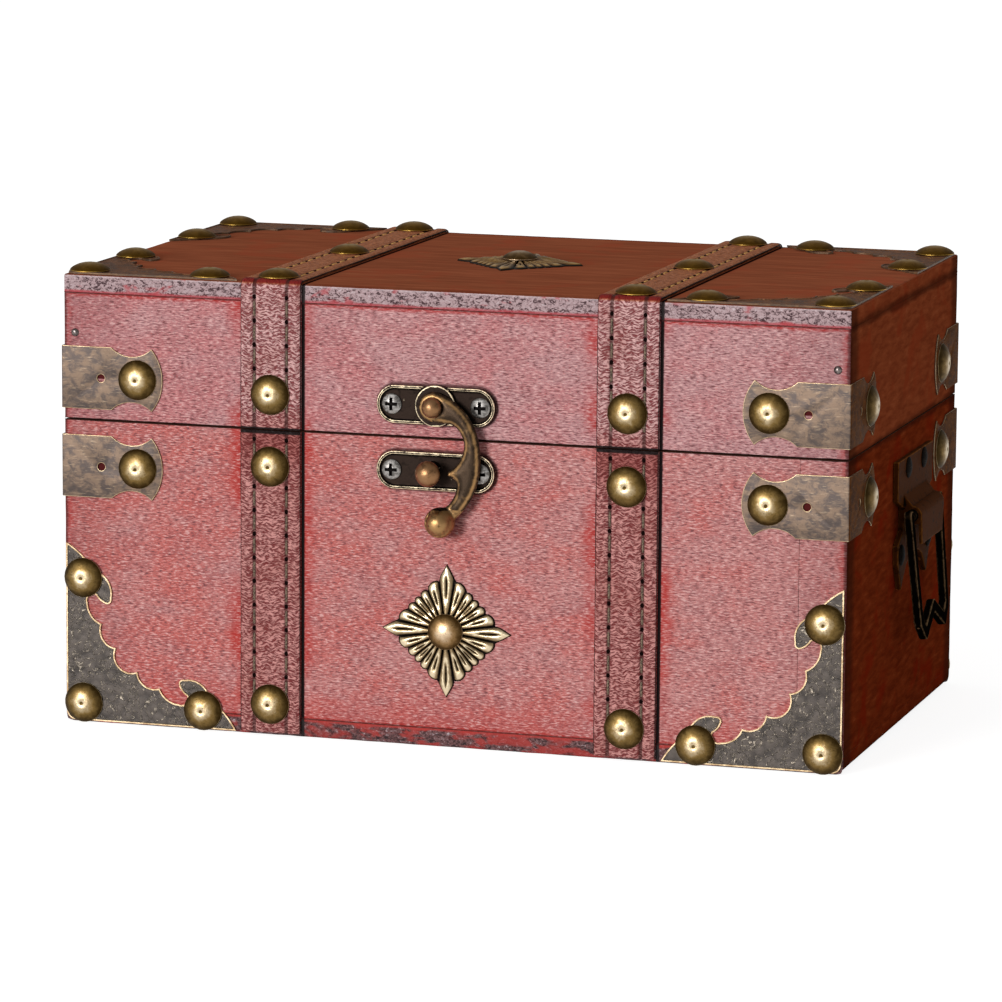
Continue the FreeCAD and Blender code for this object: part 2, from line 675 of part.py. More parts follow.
def clip_shape():
    """A clip bent round the right front edge of the box, which stands at the origin."""
    front = clip_leg(Vector(-1, 0, 0), Vector(0, -1, 0))
    side = clip_leg(Vector(0, 1, 0), Vector(1, 0, 0))
    foot = Vector(0, 0, -size.clip_height / 2)
    bend = Part.makeCylinder(size.clip_thickness, size.clip_height, foot, Vector(0, 0, 1), RIGHT_ANGLE)
    bend.rotate(Vector(), Vector(0, 0, 1), -RIGHT_ANGLE)
    return front.fuse([side, bend]).removeSplitter()


corner_plate = corner_plate_shape()
clip = clip_shape()
for face, depth_sign in DEPTHS.items():
    for side, sign in SIDES.items():
        across = f"{sign} * (box_width / 2 - corner_inset)"
        along = f"{depth_sign} * (box_depth / 2 - corner_inset)"
        for body, where, second in (("base", face, "corner_inset"), ("lid", "top", along)):
            label = f"{body}_corner_plate_{face}_{side}"
            turn = OUTWARD[where] * corner_turn(face, side, ("front", "left"))
            place = Placement(point(on_face(where, across, second)), turn)
            blank = shaped(f"{label}_blank", corner_plate, place)
            node(cut(label, blank, holes(corner_nails[body, face, side])), label)
        for body, up in clip_up.items():
            label = f"{body}_clip_{face}_{side}"
            corner = point((f"{sign} * box_width / 2", f"{depth_sign} * box_depth / 2", up))
            place = Placement(corner, corner_turn(face, side, ("front", "right")))
            blank = shaped(f"{label}_blank", clip, place)
            node(cut(label, blank, holes(clip_nails[body, face, side].values())), label)


# Star rosettes

def rosette_shape():
    """A four-pointed star of radial ridges and grooves round a flat hub, flat on XY."""
    hub, ends, feet = [], [], []
    count = 2 * ROSETTE_RIDGES
    for index in range(count):
        angle = 2 * math.pi * index / count
        ray = Vector(math.cos(angle), math.sin(angle), 0)
        reach = size.rosette_reach / (abs(ray.x) + abs(ray.y))
        rise = size.rosette_edge
        if index % 2:
            reach *= ROSETTE_GROOVE_SHARE
            rise = size.rosette_groove
        elif index % (count // 4):
            reach *= ROSETTE_SHORT_SHARE
        hub.append(ray * size.rosette_hub + Vector(0, 0, size.rosette_thickness))
        ends.append(ray * reach + Vector(0, 0, rise))
        feet.append(ray * reach)
    loops = [hub, feet]
    for index in range(count):
        before = index - 1
        loops.append([hub[before], ends[before], ends[index]])
        loops.append([hub[before], ends[index], hub[index]])
        loops.append([feet[before], feet[index], ends[index], ends[before]])
    faces = [Part.Face(Part.makePolygon(loop + loop[:1])) for loop in loops]
    return Part.Solid(Part.Shell(faces))


rosette = rosette_shape()
rosette_places = {"base": ("front", ROSETTE_UP), "lid": ("top", "0")}
for body, (face, up) in rosette_places.items():
    label = f"{body}_rosette"
    blank = shaped(f"{label}_blank", rosette, Placement(point(on_face(face, "0", up)), OUTWARD[face]))
    node(cut(label, blank, [boss_nails[body].hole]), label)
    fastener_group(f"{body}_rosette_nail", fastener_shape("boss"), [boss_nails[body]])


# Latch

def pill(name, length, width, out, thickness, up):
    """A flat bar with round ends on the front of the box at the latch's place."""
    straight = f"({length} - ({width}))"
    back = on_face("front", "0", "0", f"{out} + {thickness}")[1]
    corner = (f"latch_across - {straight} / 2", back, f"{up} - ({width}) / 2")
    pieces = [box(f"{name}_middle", (straight, thickness, width), corner)]
    for sign in SIDES.values():
        start = on_face("front", f"latch_across + {sign} * {straight} / 2", up, out)
        pieces.append(rod(f"{name}_end", f"({width}) / 2", thickness, start, OUTWARD["front"]))
    return fuse(name, pieces)


def dish(name, up):
    """A plate with a raised rim round a lower floor."""
    outer = pill(f"{name}_outer", "latch_length", "latch_width", "0", "(latch_floor + latch_rim_rise)", up)
    inner_length = "(latch_length - 2 * latch_rim)"
    inner_width = "latch_width - 2 * latch_rim"
    inner_rise = "(latch_rim_rise + overrun)"
    inner = pill(f"{name}_inner", inner_length, inner_width, "latch_floor", inner_rise, up)
    return cut(f"{name}_dish", outer, [inner])


pivot_place = on_face("front", "latch_across", LATCH_UP)
boss = rod("latch_plate_boss", "latch_boss", "latch_floor + latch_boss_rise", pivot_place, OUTWARD["front"])
latch_blank = fuse("latch_plate_blank", [dish("latch_plate", LATCH_UP), boss])
pivot_start = on_face("front", "latch_across", LATCH_UP, "-overrun")
pivot_reach = "latch_floor + latch_boss_rise + 2 * overrun"
pivot_hole = rod("pivot_hole", "pivot_radius + nail_clearance", pivot_reach, pivot_start, OUTWARD["front"])
node(cut("latch_plate", latch_blank, holes(latch_screws["lid"]) + [pivot_hole]), "latch_plate")

HOOK_OUT = "(latch_floor + latch_boss_rise + hook_lift)"
PIVOT_SEAT = f"({HOOK_OUT} + hook_thickness + hook_lift)"
pivot_shape = headed(size.pivot_head, size.pivot_rim, size.pivot_rise, size.pivot_radius, value(PIVOT_SEAT))
seat_place = point(on_face("front", "latch_across", LATCH_UP, PIVOT_SEAT))
node(shaped("latch_pivot", pivot_shape, Placement(seat_place, OUTWARD["front"])), "latch_pivot")

POST_SEAT = f"({HOOK_OUT} + hook_thickness + post_gap)"
post_shape = headed(size.post_head, size.post_rim, size.post_rise, size.post_radius, value(POST_SEAT))
post_place = point(on_face("front", "latch_across + post_side", CATCH_UP, POST_SEAT))
post = shaped("catch_post", post_shape, Placement(post_place, OUTWARD["front"]))
notch_extent = ("post_radius + overrun", f"{POST_SEAT} - latch_floor", "notch_height")
notch_back = on_face("front", "0", "0", POST_SEAT)[1]
notch_foot = f"{CATCH_UP} - notch_drop - notch_height / 2"
notch = box("catch_notch", notch_extent, ("latch_across + post_side + notch_start", notch_back, notch_foot))
notched_post = cut("catch_post_notched", post, [notch])
catch_blank = fuse("catch_plate_blank", [dish("catch_plate", CATCH_UP), notched_post])
node(cut("catch_plate", catch_blank, holes(latch_screws["base"])), "catch_plate")


def hook_shape():
    """The hook on XY with its pivot at the origin, its back at zero and its ball standing proud."""
    def at(shares):
        return Vector(shares[0] * size.hook_reach, shares[1] * size.hook_drop, 0)

    start = Vector(0, size.hook_eye, 0)
    steps = [(at(passed), at(end)) for passed, end in HOOK_OUTSIDE_SHARES]
    steps.append(at(HOOK_BALL_SIDE_SHARES))
    steps += [(at(passed), at(end)) for passed, end in HOOK_INSIDE_SHARES]
    steps.append(at(HOOK_BEAK_SHARES))
    steps += [(at(passed), at(end)) for passed, end in HOOK_CROOK_SHARES]
    steps.append(Vector(0, -size.hook_eye, 0))
    out = Vector(0, 0, 1)
    arm = Part.Face(outline(start, steps)).extrude(out * size.hook_thickness)
    eye = Part.makeCylinder(size.hook_eye, size.hook_thickness)
    middle = at((HOOK_BALL_SHARE, -1)) + out * size.ball_lift
    flat_back = -math.degrees(math.asin(size.ball_lift / size.ball_radius))
    ball = Part.makeSphere(size.ball_radius, middle, out, flat_back, RIGHT_ANGLE)
    bore = Part.makeCylinder(size.pivot_radius + size.running_clearance, size.hook_thickness)
    return arm.fuse([eye, ball]).removeSplitter().cut(bore)


hook_place = point(on_face("front", "latch_across", LATCH_UP, HOOK_OUT))
node(shaped("latch_hook", hook_shape(), Placement(hook_place, OUTWARD["front"])), "latch_hook")

screw_blank = fastener_shape("screw")
screw_top = size.screw_rim + size.screw_rise
arm_start = Vector(-size.cross_length / 2, -size.cross_width / 2, screw_top - size.cross_depth)
arm = Part.makeBox(size.cross_length, size.cross_width, size.cross_depth + size.overrun, arm_start)
other_arm = arm.copy()
other_arm.rotate(Vector(), Vector(0, 0, 1), RIGHT_ANGLE)
screw = screw_blank.cut(arm.fuse(other_arm))
fastener_group("catch_screws", screw, latch_screws["base"])
fastener_group("latch_screws", screw, latch_screws["lid"])


# Handles, drawn for the right side with X outwards and the pivot's foot on the wall at the origin

def handle_plate_shape():
    """The plate on the wall, its rolled loop for the bail and the flap that hangs from the loop."""
    half = size.handle_width / 2

    def at(sign, shares):
        reach = size.handle_above if shares[1] > 0 else size.handle_below
        return Vector(0, sign * shares[0] * half, shares[1] * reach)

    edge_shares = HANDLE_SIDE_SHARES + HANDLE_LOBE_SHARES
    right = [at(1, shares) for shares in edge_shares]
    left = [at(-1, shares) for shares in reversed(edge_shares)]
    plate = Part.Face(outline(right[0], right[1:] + left)).extrude(Vector(size.handle_thickness, 0, 0))

    bore = size.bail_rod + size.running_clearance
    outer = bore + size.loop_wall
    axis = Vector(0, 1, 0)
    end = Vector(size.loop_out, -size.loop_length / 2, 0)
    ring = Part.makeCylinder(outer, size.loop_length, end, axis)
    slope = outer * math.sqrt(1 / 2)
    root = Vector(0, end.y, size.loop_root)
    steps = [Vector(size.loop_out, end.y, outer), Vector(size.loop_out - slope, end.y, slope)]
    steps.append(root - Vector(0, 0, 2 * size.loop_wall))
    tongue = Part.Face(outline(root, steps)).extrude(axis * size.loop_length)
    flap_half = size.loop_length / 2
    front = size.loop_out + bore
    flap_edge = FLAP_EDGE_SHARE * flap_half
    corners = [Vector(front, flap_half, 0), Vector(front, flap_edge, -size.flap_drop)]
    corners.append(Vector(front, -flap_edge, -size.flap_drop))
    flap = Part.Face(outline(Vector(front, -flap_half, 0), corners)).extrude(Vector(size.loop_wall, 0, 0))
    way = Part.makeCylinder(bore, size.loop_length, end, axis)
    return plate.fuse([ring, tongue, flap]).removeSplitter().cut(way)


def bail_shape():
    """A flat bar bent to a hanging loop with two points below, and a round bar through the pivot."""
    half = size.loop_length / 2 + size.bail_gap + size.bail_bar / 2

    def at(shares):
        return Vector(0, shares[0] * half, -shares[1] * size.bail_drop)

    near = [(-across, down) for across, down in BAIL_HALF_SHARES]
    far = BAIL_HALF_SHARES[::-1]
    line = Part.makePolygon([at(shares) for shares in near + [(0, BAIL_MIDDLE_SHARE)] + far])
    rim = line.makeOffset2D(size.bail_bar / 2)
    bar = Part.Face(rim).extrude(Vector(size.bail_thickness, 0, 0))
    bar.translate(Vector(-size.bail_thickness / 2, 0, 0))
    top = Part.makeCylinder(size.bail_rod, 2 * half, at(near[0]), Vector(0, 1, 0))
    bail = bar.fuse(top).removeSplitter()
    bail.rotate(Vector(), Vector(0, 1, 0), -size.bail_lean)
    bail.translate(Vector(size.loop_out, 0, 0))
    return bail


handle_plate = handle_plate_shape()
bail = bail_shape()
handle_place = Placement(point(on_face("right", HANDLE_ACROSS, HANDLE_UP)), Rotation())
for side in SIDES:
    for label, shape in ((f"handle_plate_{side}", handle_plate), (f"handle_bail_{side}", bail)):
        blank = shaped(f"{label}_right", shape, handle_place)
        if side == "left":
            blank = shaped(f"{label}_left", blank.Shape.mirror(Vector(), Vector(1, 0, 0)))
        if shape is handle_plate:
            blank = cut(label, blank, holes(handle_rivets[side]))
        node(blank, label)
fastener_group("handle_rivets", fastener_shape("rivet"), handle_rivets["left"] + handle_rivets["right"])


# Hinges on the back, with the pin level with the seam

def hinge_leaf(body, side, spans):
    """A leaf with its own knuckles: spans are the ends of each knuckle along the pin."""
    label = f"{body}_hinge_leaf_{side}"
    middle = f"{SIDES[side]} * {HINGE_ACROSS}"
    wall_face = on_face("back", "0", "0")[1]
    low = f"{HINGE_UP} - leaf_height" if body == "base" else f"{HINGE_UP} + {HINGE_OUT}"
    tab_low = f"{HINGE_UP} - {HINGE_OUT}" if body == "base" else HINGE_UP
    extent = ("hinge_length", "leaf_thickness", f"leaf_height - {HINGE_OUT}")
    pieces = [box(f"{label}_sheet", extent, (f"{middle} - hinge_length / 2", wall_face, low))]
    for start, end in spans:
        length = f"({end}) - ({start})"
        place = (f"{middle} + {start}", wall_face, tab_low)
        pieces.append(box(f"{label}_tab", (length, "leaf_thickness", HINGE_OUT), place))
        axis_start = on_face("back", f"{middle} + {start}", HINGE_UP, HINGE_OUT)
        pieces.append(rod(f"{label}_knuckle", "knuckle_radius", length, axis_start, ALONG))
    bore_start = on_face("back", f"{middle} - hinge_length / 2 - overrun", HINGE_UP, HINGE_OUT)
    bore_length = "hinge_length + 2 * overrun"
    bore = rod(f"{label}_bore", "pin_radius + running_clearance", bore_length, bore_start, ALONG)
    blank = fuse(f"{label}_blank", pieces)
    node(cut(label, blank, [bore] + holes(hinge_tacks[body, side])), label)


def hinge_pin(side):
    label = f"hinge_pin_{side}"
    left_end = f"{SIDES[side]} * {HINGE_ACROSS} - hinge_length / 2"
    pieces = []
    for radius, start, length in (
        ("pin_radius", left_end, "hinge_length"),
        ("pin_head", f"{left_end} - pin_cap", "pin_cap"),
        ("pin_head", f"{left_end} + hinge_length", "pin_cap"),
    ):
        place = on_face("back", start, HINGE_UP, HINGE_OUT)
        pieces.append(rod(f"{label}_piece", radius, length, place, ALONG))
    node(fuse(label, pieces), label)


inner_start, inner_end = "-hinge_length / 6", "hinge_length / 6"
outer_spans = [
    ("-hinge_length / 2", f"{inner_start} - knuckle_gap / 2"),
    (f"{inner_end} + knuckle_gap / 2", "hinge_length / 2"),
]
inner_spans = [(f"{inner_start} + knuckle_gap / 2", f"{inner_end} - knuckle_gap / 2")]
for side in SIDES:
    hinge_leaf("base", side, outer_spans)
    hinge_leaf("lid", side, inner_spans)
    hinge_pin(side)


# Groups of nails

def brad_shape():
    """A brad with a flush head, its top at zero."""
    length = value(SHANK_LENGTH["brad"])
    corners = [
        Vector(size.brad_shank, 0, -length),
        Vector(size.brad_shank, 0, -size.brad_cap),
        Vector(size.brad_head, 0, -size.brad_cap),
        Vector(size.brad_head, 0, 0),
        Vector(),
    ]
    profile = Part.Face(outline(Vector(0, 0, -length), corners))
    return profile.revolve(Vector(), Vector(0, 0, 1), FULL_TURN)


for body in ("base", "lid"):
    studs = []
    for key, found in list(strap_nails.items()) + list(corner_nails.items()):
        if key[0] == body:
            studs += found
    for key, found in clip_nails.items():
        if key[0] == body:
            studs += found.values()
    fastener_group(f"{body}_studs", fastener_shape("stud"), studs)
    tacks = hinge_tacks[body, "left"] + hinge_tacks[body, "right"]
    fastener_group(f"{body}_hinge_nails", fastener_shape("tack"), tacks)
    fastener_group(f"{body}_brads", brad_shape(), [item for key, item in brads.items() if key[0] == body])

doc.recompute()
for thing in doc.Objects:
    if "Invalid" in thing.State or "Error" in thing.State:
        raise RuntimeError(f"{thing.Label} did not build: {thing.State}")
for thing in nodes:
    if thing.Shape.isNull() or not thing.Shape.isValid():
        raise RuntimeError(f"{thing.Label} has no valid shape")

os.makedirs("parts", exist_ok=True)
for thing in nodes:
    thing.Shape.exportStep(f"parts/{thing.Label}.step")
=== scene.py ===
# %% [markdown]
# # A small treasure chest box
#
# The real box is a wooden chest, stained red and worn pale on the front. Leather straps run over
# it, domed brass nails hold bronze clips and scalloped corner plates, and a swing latch keeps the
# lid shut. The construction model gives every piece its place, so this lesson dresses that model
# piece by piece: wood, leather, nails, trim, latch, handles, and then light and camera.

# %% Load the construction model
import json
import math
from contextlib import contextmanager

import bpy
from mathutils import Matrix, Vector, noise
from mathutils.kdtree import KDTree

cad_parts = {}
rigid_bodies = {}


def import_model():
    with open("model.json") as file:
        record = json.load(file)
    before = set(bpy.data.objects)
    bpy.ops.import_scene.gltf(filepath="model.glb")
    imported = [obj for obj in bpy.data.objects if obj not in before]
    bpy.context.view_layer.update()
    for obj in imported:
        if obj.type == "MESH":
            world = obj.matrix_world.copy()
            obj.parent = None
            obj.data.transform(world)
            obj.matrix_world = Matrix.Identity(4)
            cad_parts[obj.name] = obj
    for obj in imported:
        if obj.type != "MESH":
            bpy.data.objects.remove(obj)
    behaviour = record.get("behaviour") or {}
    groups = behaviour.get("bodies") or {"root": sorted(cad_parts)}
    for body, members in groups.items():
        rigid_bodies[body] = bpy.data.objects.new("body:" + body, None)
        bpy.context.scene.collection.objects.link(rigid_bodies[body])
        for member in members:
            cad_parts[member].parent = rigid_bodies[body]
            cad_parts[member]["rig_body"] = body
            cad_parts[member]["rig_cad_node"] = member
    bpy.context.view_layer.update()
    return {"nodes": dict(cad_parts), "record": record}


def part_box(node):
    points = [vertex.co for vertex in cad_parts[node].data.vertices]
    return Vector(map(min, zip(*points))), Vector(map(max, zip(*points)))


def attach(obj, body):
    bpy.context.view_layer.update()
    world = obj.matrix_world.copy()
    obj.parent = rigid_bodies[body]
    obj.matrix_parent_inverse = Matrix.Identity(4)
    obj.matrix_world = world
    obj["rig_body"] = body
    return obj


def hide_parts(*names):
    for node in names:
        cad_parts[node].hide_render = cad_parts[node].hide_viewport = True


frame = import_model()
record = frame["record"]
body_of = {node: body for body, held in record["behaviour"]["bodies"].items() for node in held}
slot_of = {part["node"]: part["material_slot"] for part in record["subparts"]}
MM = 0.001

# %% [markdown]
# ## Working by hand, in code
#
# An operator acts on whatever is selected, so each step starts by selecting one piece alone. In
# edit mode the wanted faces or edges are picked by where they are. These helpers keep that
# short, so that the steps below read like the moves a modeller makes.

# %% Select and edit a piece
NEAR = 1e-5
TOUCH = 1e-6
SHARP = math.radians(50)


def only(piece):
    """Select one piece alone and make it active."""
    bpy.ops.object.select_all(action="DESELECT")
    piece.select_set(True)
    bpy.context.view_layer.objects.active = piece


def pick(mesh, kind, test):
    """Mark the faces or edges of a mesh that pass a test on their place."""
    if kind == "FACE":
        for face in mesh.polygons:
            face.select = test(face.center)
    else:
        for edge in mesh.edges:
            edge.select = test(*(mesh.vertices[end].co for end in edge.vertices))


@contextmanager
def editing(piece, kind="VERT", test=None):
    """Edit mode with all of a piece picked, or only what passes a test."""
    only(piece)
    bpy.ops.object.mode_set(mode="EDIT")
    bpy.ops.mesh.select_mode(type=kind)
    bpy.ops.mesh.select_all(action="DESELECT" if test else "SELECT")
    if test:
        bpy.ops.object.mode_set(mode="OBJECT")
        pick(piece.data, kind, test)
        bpy.ops.object.mode_set(mode="EDIT")
    yield
    bpy.ops.object.mode_set(mode="OBJECT")


def face_outwards(piece, merge=False):
    """Turn all faces of a piece outwards, after merging doubled points if asked."""
    with editing(piece):
        if merge:
            bpy.ops.mesh.remove_doubles(threshold=TOUCH)
        bpy.ops.mesh.normals_make_consistent(inside=False)


def cap(piece, test):
    """Close the ring of edges that passes a test with one face."""
    with editing(piece, "EDGE", test):
        bpy.ops.mesh.edge_face_add()


def shape(piece, kind, **settings):
    """Add a modifier with its settings and apply it."""
    only(piece)
    modifier = piece.modifiers.new(kind.title(), kind)
    for name, value in settings.items():
        setattr(modifier, name, value)
    bpy.ops.object.modifier_apply(modifier=modifier.name)


def soften(piece, width, segments=1, **more):
    """Bevel the sharp edges of a piece."""
    shape(piece, "BEVEL", width=width, segments=segments, limit_method="ANGLE", angle_limit=SHARP, **more)


def smooth(piece, angle=40):
    """Shade smooth across edges that turn by less than an angle in degrees."""
    only(piece)
    bpy.ops.object.shade_smooth_by_angle(angle=math.radians(angle))


print("editing helpers ready")

# %% Name, join, copy and settle pieces
TRIANGLE_GAP = 2e-6
FLAT = math.radians(0.5)


def fresh(name):
    """Name the piece that an operator has just added and put its place into its mesh."""
    piece = bpy.context.active_object
    piece.name = name
    only(piece)
    bpy.ops.object.transform_apply(location=True, rotation=True, scale=True)
    return piece


def joined(pieces, name):
    """Join several pieces into the first one."""
    bpy.ops.object.select_all(action="DESELECT")
    for piece in pieces:
        piece.select_set(True)
    bpy.context.view_layer.objects.active = pieces[0]
    if len(pieces) > 1:
        bpy.ops.object.join()
    pieces[0].name = name
    return pieces[0]


def placed(model, stand):
    """A copy of a model with its own mesh, moved by a matrix."""
    copy = model.copy()
    copy.data = model.data.copy()
    copy.data.transform(stand)
    bpy.context.collection.objects.link(copy)
    return copy


def copy_of(node, name, flat_faces=True):
    """A free copy of a construction piece, its triangles joined and, if asked, merged into flat faces."""
    only(frame["nodes"][node])
    bpy.ops.object.duplicate()
    piece = bpy.context.active_object
    piece.name = name
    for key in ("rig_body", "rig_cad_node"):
        if key in piece:
            del piece[key]
    piece.parent = None
    piece.matrix_world = Matrix.Identity(4)
    piece.data.materials.clear()
    if piece.data.has_custom_normals:
        bpy.ops.mesh.customdata_custom_splitnormals_clear()
    with editing(piece):
        bpy.ops.mesh.remove_doubles(threshold=TRIANGLE_GAP)
        if flat_faces:
            bpy.ops.mesh.dissolve_limited(angle_limit=FLAT)
    return piece


def settle(piece, *nodes):
    """Let a piece stand for construction pieces: same body, and the pieces hidden."""
    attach(piece, body_of[nodes[0]])
    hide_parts(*nodes)


def dress(piece, *materials):
    """Give a piece its materials in order."""
    piece.data.materials.clear()
    for material in materials:
        piece.data.materials.append(material)


print("piece helpers ready")

# %% [markdown]
# ## Shader sums
#
# Every finish here is procedural, so that it can be baked and looked at from any side. Long node
# trees are easier to read as sums, so a small class wraps a socket: adding or multiplying two
# wires adds a Math node, and one method adds any other kind of node.

# %% A wire class for node trees
def operator(operation, turned=False):
    """A method that adds a Math node for two values, in turned order if asked."""

    def method(self, other=0.0):
        first, second = (other, self) if turned else (self, other)
        return self.node("ShaderNodeMath", {"operation": operation}, {0: first, 1: second})

    return method


class Wire:
    """A node socket that can be used in sums."""

    def __init__(self, socket):
        self.socket = socket

    def node(self, kind, settings=None, inputs=None, output=0):
        """Add a node: its settings first, then the values or wires of its sockets."""
        tree = self.socket.id_data
        made = tree.nodes.new(kind)
        for name, value in (settings or {}).items():
            setattr(made, name, value)
        for name, value in (inputs or {}).items():
            if isinstance(value, Wire):
                value.feed(made.inputs[name])
            else:
                made.inputs[name].default_value = value
        return Wire(made.outputs[output])

    def feed(self, socket):
        self.socket.id_data.links.new(self.socket, socket)

    __add__ = __radd__ = operator("ADD")
    __sub__ = operator("SUBTRACT")
    __rsub__ = operator("SUBTRACT", turned=True)
    __mul__ = __rmul__ = operator("MULTIPLY")
    __pow__ = operator("POWER")
    __abs__ = operator("ABSOLUTE")
    most = operator("MAXIMUM")
    least = operator("MINIMUM")


print("wires ready")


# %% Colours, masks and noise
def tone(colour):
    """Three levels off a screen, 0 to 255, as linear light; a wire or a linear colour stays as it is."""
    if isinstance(colour, Wire) or len(colour) == 4:
        return colour
    levels = [level / 255 for level in colour]
    return tuple(v / 12.92 if v <= 0.04045 else ((v + 0.055) / 1.055) ** 2.4 for v in levels) + (1.0,)


def inputs_of(material):
    """The sockets of a material's shader."""
    return material.node_tree.nodes["Principled BSDF"].inputs


def new_finish(name, roughness=0.5, metallic=0.0, specular=0.5):
    """A material and the place on its piece in millimetres."""
    material = bpy.data.materials.new(name)
    material.use_nodes = True
    inputs = inputs_of(material)
    inputs["Roughness"].default_value = roughness
    inputs["Metallic"].default_value = metallic
    inputs["Specular IOR Level"].default_value = specular
    where = Wire(material.node_tree.nodes.new("ShaderNodeTexCoord").outputs["Object"])
    place = where.node("ShaderNodeVectorMath", {"operation": "SCALE"}, {0: where, "Scale": 1 / MM})
    return material, place


def axes(place):
    """The three coordinates of a place."""
    parted = place.node("ShaderNodeSeparateXYZ", {}, {0: place})
    return [Wire(socket) for socket in parted.socket.node.outputs]


def kept_value(place, name):
    """A value that a piece keeps at its points."""
    return place.node("ShaderNodeAttribute", {"attribute_name": name}, output=2)


def ramp(value, low, high):
    """0 at low, 1 at high, smooth between them."""
    return value.node("ShaderNodeMapRange", {"interpolation_type": "SMOOTHSTEP"},
                      {"Value": value, "From Min": low, "From Max": high})


def cloud(place, per_mm, detail=3.0, roughness=0.6, warp=0.0):
    """Noise with so many blotches to the millimetre, one number or one for each axis."""
    scale = per_mm if isinstance(per_mm, tuple) else (per_mm,) * 3
    drawn = place.node("ShaderNodeVectorMath", {"operation": "MULTIPLY"}, {0: place, 1: scale})
    return drawn.node("ShaderNodeTexNoise", {}, {"Vector": drawn, "Scale": 1.0, "Detail": detail,
                                                 "Roughness": roughness, "Distortion": warp})


def mix(share, first, second):
    """A blend of two colours."""
    return share.node("ShaderNodeMix", {"data_type": "RGBA"},
                      {0: share, 6: tone(first), 7: tone(second)}, output=2)


def layers(colour, *coats):
    """Lay coats of colour over one another, each as far as its share goes."""
    for share, coat in coats:
        colour = mix(share, colour, coat)
    return colour


def finish(material, colour, height, depth_mm, strength, roughness=None):
    """Wire up a colour, a height from 0 to 1 that tilts the surface and, if it varies, a roughness."""
    inputs = inputs_of(material)
    colour.feed(inputs["Base Color"])
    bump = height.node("ShaderNodeBump", {}, {"Height": height, "Distance": depth_mm * MM,
                                              "Strength": strength})
    bump.feed(inputs["Normal"])
    if roughness:
        roughness.feed(inputs["Roughness"])
    return material


print("shader sums ready")

# %% [markdown]
# ## Stained wood
#
# The front was stained red and then rubbed until pale fibres show, with the red left beside the
# straps and trim where the cloth could not reach, and black in the seam. A painted shadow darkens
# a narrow line along the right of each strap and a ring round the latch plates. The side and top
# are browner and darker than the front, partly their own mahogany and partly painted shade. Noise
# drawn out along the grain gives the fibres, and distances to the straps, plates and edges, worked
# out from the construction, say where the red stain, the dark seam and the painted shadows go.

# %% Sizes that the wood finishes need, in millimetres
box_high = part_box("base_bottom_panel")[1] / MM
HALF_WIDTH, HALF_DEPTH, FOOT = box_high
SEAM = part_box("base_front_panel")[1].z / MM
SEAM_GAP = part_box("lid_front_rail")[0].z / MM - SEAM
SEAM_MIDDLE = SEAM + SEAM_GAP / 2
TOP_LINE, TOP = (corner.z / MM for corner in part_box("lid_top_panel"))
strap_low, strap_high = (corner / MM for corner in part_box("base_strap_front_right"))
STRAP_MIDDLE = (strap_low.x + strap_high.x) / 2
STRAP_HALF = (strap_high.x - strap_low.x) / 2
plate_low, plate_high = (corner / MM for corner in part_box("base_corner_plate_front_right"))
PLATE_REACH = plate_high.z - plate_low.z
clip_low, clip_high = (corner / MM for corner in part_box("base_clip_front_right"))
HOLE_RISE = SEAM_MIDDLE - (clip_low.z + clip_high.z) / 2
HOLE_PLACE = 11
catch_low, catch_high = (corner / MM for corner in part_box("catch_plate"))
LATCH_MIDDLE, CATCH_LEVEL = (catch_low.x + catch_high.x) / 2, (catch_low.z + catch_high.z) / 2
LATCH_LEVEL = sum(corner.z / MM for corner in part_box("latch_plate")) / 2
LATCH_ROUND = (catch_high.z - catch_low.z) / 2
LATCH_STRAIGHT = (catch_high.x - catch_low.x) / 2 - LATCH_ROUND
print("straps at", round(STRAP_MIDDLE, 2), "mm, half width", round(STRAP_HALF, 2), "seam", round(SEAM, 2))

# %% Painted strap shadow and red stain
STRAP_SHADOW_BLACK = (16, 7, 7)
STRAP_SHADOW_WIDTH = 0.85


def strap_shadow_line(x):
    """1 in the narrow line of painted shadow along the right of each strap, 0 elsewhere."""
    away = (x - STRAP_MIDDLE).most(ramp(x, 0, -0.1) * (x + STRAP_MIDDLE)) - STRAP_HALF
    return ramp(away, -0.2, 0) * ramp(away, STRAP_SHADOW_WIDTH + 0.2, STRAP_SHADOW_WIDTH - 0.2)


def off_latch(x, z, level):
    """How far outside the rounded outline of a latch plate a place on the front is."""
    past_end = (abs(x - LATCH_MIDDLE) - LATCH_STRAIGHT).most(0)
    return (past_end ** 2 + (z - level) ** 2) ** 0.5 - LATCH_ROUND


def stain_left(x, z, side, from_line, ragged, drift):
    """How much red stain the cloth left by the straps, corner plates, ends, edge lines and foot."""
    from_strap = abs(abs(x) - STRAP_MIDDLE) - STRAP_HALF
    round_plate = ((side - PLATE_REACH) ** 2 + (z - PLATE_REACH) ** 2) ** 0.5
    at_corner = ramp(side.most(z), PLATE_REACH, PLATE_REACH - 4)
    by_plate = ramp(PLATE_REACH - round_plate - ragged, 4, 0) * at_corner
    by_strap = ramp(from_strap - ragged, 4.5, 0) * ramp(drift, 0.4, 0.62)
    by_end = ramp(side - ragged, 2.5, 0) * 0.7
    by_line = ramp(from_line - ragged * 0.3, 1.2, 0.2)
    by_foot = ramp(z - ragged * 3, 16, 2) * 0.5
    return by_strap.most(by_plate * 0.5).most(by_end).most(by_line).most(by_foot)


print("polish lines are", STRAP_SHADOW_WIDTH, "mm wide")


